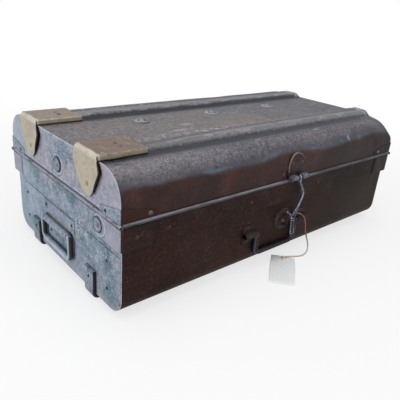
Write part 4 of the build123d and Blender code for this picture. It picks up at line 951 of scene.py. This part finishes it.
def lidSheet():
    # each station along X carries the profile, its two faces half a thickness to either side and pushed in by the dents
    f = lidForm
    line, curled = lidProfile()
    ahead = unit(np.gradient(line, axis=0))
    out = np.stack([-ahead[:, 1], ahead[:, 0]], -1)
    reach = np.full(len(line), f["reach"])
    reach[:curled] = f["rollReach"]
    reach[-curled:] = f["rollReach"]
    share = np.linspace(-1, 1, f["stations"])[:, None]
    x = share * reach
    y, z = line.T
    middle = np.stack(np.broadcast_arrays(x, y, z), -1)
    free = soften((z - 0.127) / 0.02) * np.maximum(soften((1 - np.abs(share)) / 0.07), z > f["top"] + 0.002)
    shoulder = np.exp(-((z - 0.158) / 0.012) ** 2) * (np.abs(y) > 0.12)
    wave = f["wave"] * shoulder * (1 + np.sin(x * 71 + 1.2) * 0.5 + np.sin(x * 133 + 4 * np.sign(y)) * 0.5)
    wave = wave + 0.0002 * (1 + np.sin(x * 37 + z * 60) * np.cos(y * 43 + x * 19))
    pushed = (dented(middle, f["dents"]) + wave) * free
    outward = np.concatenate([np.zeros((len(line), 1)), out], -1)
    outer = middle + outward * (f["thick"] / 2 - pushed)[..., None]
    inner = middle - outward * (f["thick"] / 2 + pushed)[..., None]
    section = pressedIn(np.concatenate([outer, inner[:, ::-1]], 1))
    size = section.shape[1]
    quads = gridFaces(f["stations"], size, wrapColumns=True)[:, ::-1]
    half = np.arange(size // 2 - 1)
    near = np.stack([half, half + 1, size - 2 - half, size - 1 - half], -1)
    far = near[:, ::-1] + (f["stations"] - 1) * size
    return meshPiece("lidSheet", section.reshape(-1, 3), np.vstack([quads, near, far]), lidTinSkin)


endForm = dict(   # metres
    plate=0.262, thick=0.0009, flange=0.012, low=0.1226, half=0.145, top=0.1778, rings=16,
    middle=(0, 0.149), rollPlace=(0.2626, 0.1477, 0.1217), rollRadius=0.0024, wave=0.0003,
    dents=[((0, -0.04, 0.15), (1, 0.03, 0.018), 0.0006), ((0, 0.06, 0.158), (1, 0.03, 0.014), 0.0005),
           ((0, 0.115, 0.14), (1, 0.018, 0.012), 0.0006), ((0, -0.125, 0.15), (1, 0.012, 0.016), 0.0005)],
)


def lidOutline(gap, rise):
    # the closed (y, z) outline of a lid end, drawn in by a gap, with ribs of the given rise
    f = endForm
    half, top, low = f["half"] - gap, f["top"] - gap, f["low"] + 0.0002
    corners, bends = overRib(half, top, rise, lidForm["ribFoot"] - gap, lidForm["ribCrown"] - gap / 2)
    radii = [0.0004, lidForm["edge"] + 0.0004 - gap, *bends]
    part = roundedLine([(0, low), (-half, low), *corners], radii, [12, 9, 3, 2, 6, 2, 12], 12)
    return np.vstack([part, part[-2:0:-1] * (-1, 1)])


def lidEnd(side, material):
    # rings of the outline: out from the middle of the outer face, round the rim, along the flange, back to the middle
    f = endForm
    plate, back = f["plate"], f["plate"] - f["thick"]
    hub = np.array(f["middle"])
    shares = np.linspace(0.03, 1, f["rings"])[:, None, None]
    rim, inner = lidOutline(0.0009, 0.006), lidOutline(0.0016, 0)
    outerFace = hub + (rim - hub) * shares
    innerFace = hub + (lidOutline(0.0025, 0) - hub) * shares[::-1]
    ring = [lidOutline(0.0004, 0.006), lidOutline(0.0001, 0.006), lidOutline(0, 0.006), lidOutline(0, 0.006), inner]
    ring += [inner, lidOutline(0.0025, 0)]
    flat = np.concatenate([outerFace, np.array(ring), innerFace])
    depth = f["flange"] * np.clip((inner[:, 1] - f["low"] - 0.001) / 0.002, 0.05, 1)
    across = [np.full(len(rim), plate)] * f["rings"]
    across += [np.full(len(rim), value) for value in (plate - 0.0001, plate - 0.0004, plate - 0.0007, back, back)]
    across = np.array(across + [back - depth, back - depth] + [np.full(len(rim), back)] * f["rings"])
    loops = np.stack([np.zeros_like(across), flat[..., 0], flat[..., 1]], -1)
    y, z = flat[..., 0], flat[..., 1]
    inside = np.minimum(f["half"] - np.abs(y), np.minimum(f["top"] - z, z - f["low"]))
    free = soften((inside - 0.004) / 0.02)
    wave = f["wave"] * (1 + np.sin(y * 47 + 1) * np.cos(z * 90 + y * 21))
    loops[..., 0] = across - free * (dented(loops, f["dents"]) + wave)
    if side > 0:
        loops = pressedIn(loops)
    else:
        loops[..., 0] *= -1
        loops = loops[:, ::-1]
    points = np.vstack([loops.reshape(-1, 3), loops[0].mean(0), loops[-1].mean(0)])
    x, y, z = f["rollPlace"]
    roll = evenly(np.array([(side * x, -y, z), (side * x, y, z)]), 80)
    surfaces = [(points, closedRings(*loops.shape[:2])), tubeSurface(roll, f["rollRadius"], 24, roundEnds=False)]
    return meshPiece("lidEndLeft" if side < 0 else "lidEndRight", *joined(surfaces), material)


capForm = dict(   # metres and degrees; shield is depth below the top, then rear and front edge from the cap's rear side
    edge=-0.262, reach=0.061, width=0.052, thick=0.0007, top=0.1846, low=0.1779, face=-0.2628, fold=0.0042,
    side=0.0012, lean=3, drop=0.0524, ripple=0.0003, curl=0.0019, bow=0.0003,
    shield=[
        (0, -0.0012, -0.0508), (0.004, 0.002, -0.0524), (0.008, 0.0046, -0.0544), (0.012, 0.0058, -0.0566),
        (0.016, 0.0062, -0.0586), (0.019, 0.0061, -0.058), (0.023, 0.0054, -0.0556), (0.029, 0.0016, -0.052),
        (0.035, -0.0022, -0.0484), (0.04, -0.0062, -0.0455), (0.044, -0.0094, -0.0425), (0.0475, -0.0142, -0.0388),
        (0.05, -0.0194, -0.0354), (0.0515, -0.024, -0.0326), (0.0524, -0.0272, -0.0304),
    ],
)


def brassCap(centre, name):
    # a strip carried up the end of the lid, round the fold and along the rib, as wide at each depth as the shield says,
    # and a second strip carried round the other three sides with a turned-down edge
    f = capForm
    far = f["edge"] + f["reach"]
    path = roundedLine([(f["face"], f["top"] - f["drop"]), (f["face"], f["top"]), (far - f["side"], f["top"])],
                       [f["fold"]], [44, 34], 14)
    depths, rears, fronts = np.array(f["shield"]).T
    depth = f["top"] - path[:, 1]
    rear, front = np.interp(depth, depths, rears)[:, None], np.interp(depth, depths, fronts)[:, None]
    share = np.linspace(0, 1, 34)[None, :]
    y = centre + f["width"] / 2 + rear + (front - rear) * share
    slope = math.tan(math.radians(f["lean"]))
    lean = slope * np.maximum(centre + f["width"] / 2 - y, 0)
    fade = soften((far - path[:, :1]) / (f["reach"] * 0.8))
    ripple = np.sin(y * 190 + path[:, 1:] * 120 + centre * 30) * np.cos(path[:, :1] * 150 + y * 60)
    ripple = f["ripple"] * (1 + ripple)
    onFlap = soften(depth[:, None] / 0.01)
    curl = f["curl"] * onFlap * soften(share * 4 - 3) * np.sin(np.clip(depth[:, None] / 0.05, 0, 1) * math.pi)
    x = path[:, :1] - lean * fade - curl + ripple * onFlap
    z = path[:, 1:] - ripple * (1 - onFlap) * soften((share * (1 - share)) * 8)
    sheet = np.stack([x, y, np.broadcast_to(z, x.shape)], -1)
    deep = f["thick"] + np.broadcast_to(curl, x.shape)[..., None]
    half = f["width"] / 2
    corners = [(f["face"] + 0.0022, -half), (far, -half), (far, half), (f["face"] + 0.001, half)]
    plan = roundedLine(corners, [0.0022, 0.0022], [34, 28, 34], 8)
    ahead = unit(np.gradient(plan, axis=0))
    out = np.stack([ahead[:, 1], -ahead[:, 0]], -1)
    turn = np.linspace(0, math.pi / 2, 7)
    inset = np.r_[f["side"] * (1 - np.sin(turn)), 0, -0.00015, 0]
    level = np.r_[f["top"] - f["side"] * (1 - np.cos(turn)), f["top"] - 0.003, f["top"] - 0.005, f["low"]]
    bow = f["bow"] * np.sin(np.linspace(0, 19, len(plan)) + centre * 20)[:, None] * np.linspace(0, 1, len(inset))
    spot = plan[:, None] - out[:, None] * (inset[None, :] + np.abs(bow))[..., None]
    spotX = spot[..., 0] - slope * (half - spot[..., 1]) * soften((far - spot[..., 0]) / (f["reach"] * 0.8))
    rim = np.stack([spotX, spot[..., 1] + centre, np.broadcast_to(level, spotX.shape)], -1)
    surfaces = [thickSheet(sheet[:, ::-1], deep[:, ::-1]), thickSheet(rim[:, ::-1], f["thick"])]
    return meshPiece(name, *joined(surfaces), capBrass)


tieForm = dict(   # metres, from the hasp's pin; front and rear are the planes of the wire's two halves
    pin=(0.012, 0.1265), front=-0.15486, rear=-0.14954, rod=0.0011,
    route=[
        (-0.017, "front", -0.0465), (-0.006, "front", -0.055), (-0.0042, "front", -0.0715),
        (-0.003, "front", -0.085), (0.0055, "front", -0.085), (0.007, "rear", -0.0665), (0.019, "rear", -0.0345),
        (0.0115, "rear", -0.0145), (0.0015, "rear", -0.005), (0.0015, "rear", 0.00266), (0.0015, "front", 0.00266),
        (0.001, "front", -0.006), (0.014, "front", -0.0255), (0.0055, "front", -0.0425), (-0.0025, "front", -0.052),
    ],
    bends=[0.004, 0.009, 0.0039, 0.0039, 0.009, 0.014, 0.014, 0.006, 0.00261, 0.00261, 0.006, 0.012, 0.012],
    swell=0.22, wraps=2.4, wrapFrom=(-0.0048, -0.0565), wrapTo=(-0.0036, -0.064),
)


def tieWire():
    # the bent wire as a round rod along its corners, and its end wound round the loop's strand as a screw line
    f = tieForm
    x0, z0 = f["pin"]
    corners = [(x0 + x, f[plane] + (0.0008 if k == 4 else 0), z0 + z) for k, (x, plane, z) in enumerate(f["route"])]
    line = evenly(roundedLine(corners, f["bends"], [10] * (len(corners) - 1), 14), 420)
    wear = 1 + 0.03 * np.sin(np.linspace(0, 60, len(line))) + f["swell"] * soften((z0 - 0.006 - line[:, 2]) / 0.006)
    low, high = (np.array([x0 + x, f["front"], z0 + z]) for x, z in (f["wrapTo"], f["wrapFrom"]))
    angle = np.linspace(0, 2 * math.pi * f["wraps"], 120)
    share = np.linspace(0, 1, 120)[:, None]
    axis = unit(low - high)
    sideways = unit(np.cross(axis, (0, 1, 0)))
    spoke = sideways * np.cos(angle)[:, None] + np.array([0, 1, 0]) * np.sin(angle)[:, None]
    coil = high + (low - high) * share + spoke * (f["rod"] * 2.05)
    lead = np.array([line[-1] + (0, 0, 0.0005)])
    coil = evenly(np.vstack([lead, coil[2:]]), 130)
    surfaces = [tubeSurface(line, f["rod"] * wear, 14), tubeSurface(coil, f["rod"] * 0.92, 12)]
    return meshPiece("tieWire", *joined(surfaces), wireSteel)


drawn = {
    "lid_wrap_sheet": (lidSheet(), "lid", "lid_tin"), "lid_end_left": (lidEnd(-1, leftLidEndTin), "lid", "lid_tin"),
    "lid_end_right": (lidEnd(1, rightLidEndTin), "lid", "lid_tin"),
    "brass_cap_front": (brassCap(-0.077, "brassCapFront"), "lid", "aged_brass"),
    "brass_cap_rear": (brassCap(0.077, "brassCapRear"), "lid", "aged_brass"),
    "tie_wire": (tieWire(), "tie_wire", "tie_wire_steel"),
}
for nodeName, (piece, body, slotName) in drawn.items():
    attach(piece, body)
    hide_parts(nodeName)
    print(nodeName, "drawn with", len(piece.data.polygons), "faces")


studio = dict(
    floor=(236, 236, 236), floorPale=(242, 242, 242), floorGlow=0.7, floorReach=6,
    room=(0.92, 0.95, 1), roomLevel=0.42,
    lamps=dict(   # place, size, watts, colour
        overhead=((-0.15, -0.1, 1.9), 1.6, 16, (1, 0.98, 0.96)),
        leftSide=((-1.9, 0.15, 0.75), 1.3, 15, (0.93, 0.97, 1)),
        front=((0.3, -2, 1.3), 1.4, 13, (1, 0.98, 0.96)),
    ),
)


def backgroundRays(recipe):
    # 1 for rays that see the background, straight or through a gloss
    path = recipe.node("ShaderNodeLightPath", {}, {}, None)
    kinds = ("Is Camera Ray", "Is Glossy Ray", "Is Transmission Ray")
    seen, mirrored, through = (Link(recipe, path.outputs[name]) for name in kinds)
    return seen.most(mirrored).most(through)


floorRecipe = Recipe("floorPaper", studio, Roughness=0.9, Specular_IOR_Level=0.1)
floorTone = floorRecipe.mix("floor", "floorPale", floorRecipe.noise(3, 2, 0.5))
floorSkin = floorRecipe.finish(floorTone)
away = (floorRecipe.x * floorRecipe.x + floorRecipe.y * floorRecipe.y) ** 0.5
share = backgroundRays(floorRecipe) * (studio["floorGlow"] + away.rise(0.3, 1) * (1 - studio["floorGlow"]))
white = floorRecipe.node("ShaderNodeEmission", {}, {"Color": (1, 1, 1, 1), "Strength": 1})
plain = Link(floorRecipe, floorRecipe.shader.outputs[0])
mixed = floorRecipe.node("ShaderNodeMixShader", {}, {0: share, 1: plain, 2: white})
floorRecipe.tree.links.new(mixed.socket, floorRecipe.tree.nodes["Material Output"].inputs["Surface"])
reach = studio["floorReach"]
floor = meshPiece("floor", [(-reach, -reach, 0), (reach, -reach, 0), (reach, reach, 0), (-reach, reach, 0)],
                  [(0, 1, 2, 3)], floorSkin, smooth=False)

world = bpy.data.worlds.new("room")
bpy.context.scene.world = world
world.use_nodes = True
room = Recipe("room", tree=world.node_tree)
room.tree.nodes.remove(room.tree.nodes["Background"])
lit = room.node("ShaderNodeBackground", {}, {"Color": (*studio["room"], 1), "Strength": studio["roomLevel"]})
seenWhite = room.node("ShaderNodeBackground", {}, {"Color": (1, 1, 1, 1), "Strength": 1})
chosen = room.node("ShaderNodeMixShader", {}, {0: backgroundRays(room), 1: lit, 2: seenWhite})
room.tree.links.new(chosen.socket, room.tree.nodes["World Output"].inputs["Surface"])

for name, (place, size, watts, tint) in studio["lamps"].items():
    lampData = bpy.data.lights.new(name, "AREA")
    lampData.size, lampData.energy, lampData.color = size, watts, tint
    lamp = bpy.data.objects.new(name, lampData)
    lamp.location = place
    lamp.rotation_euler = (Vector((0, 0, 0.08)) - Vector(place)).to_track_quat("-Z", "Y").to_euler()
    bpy.context.scene.collection.objects.link(lamp)
print("floor and lamps set")
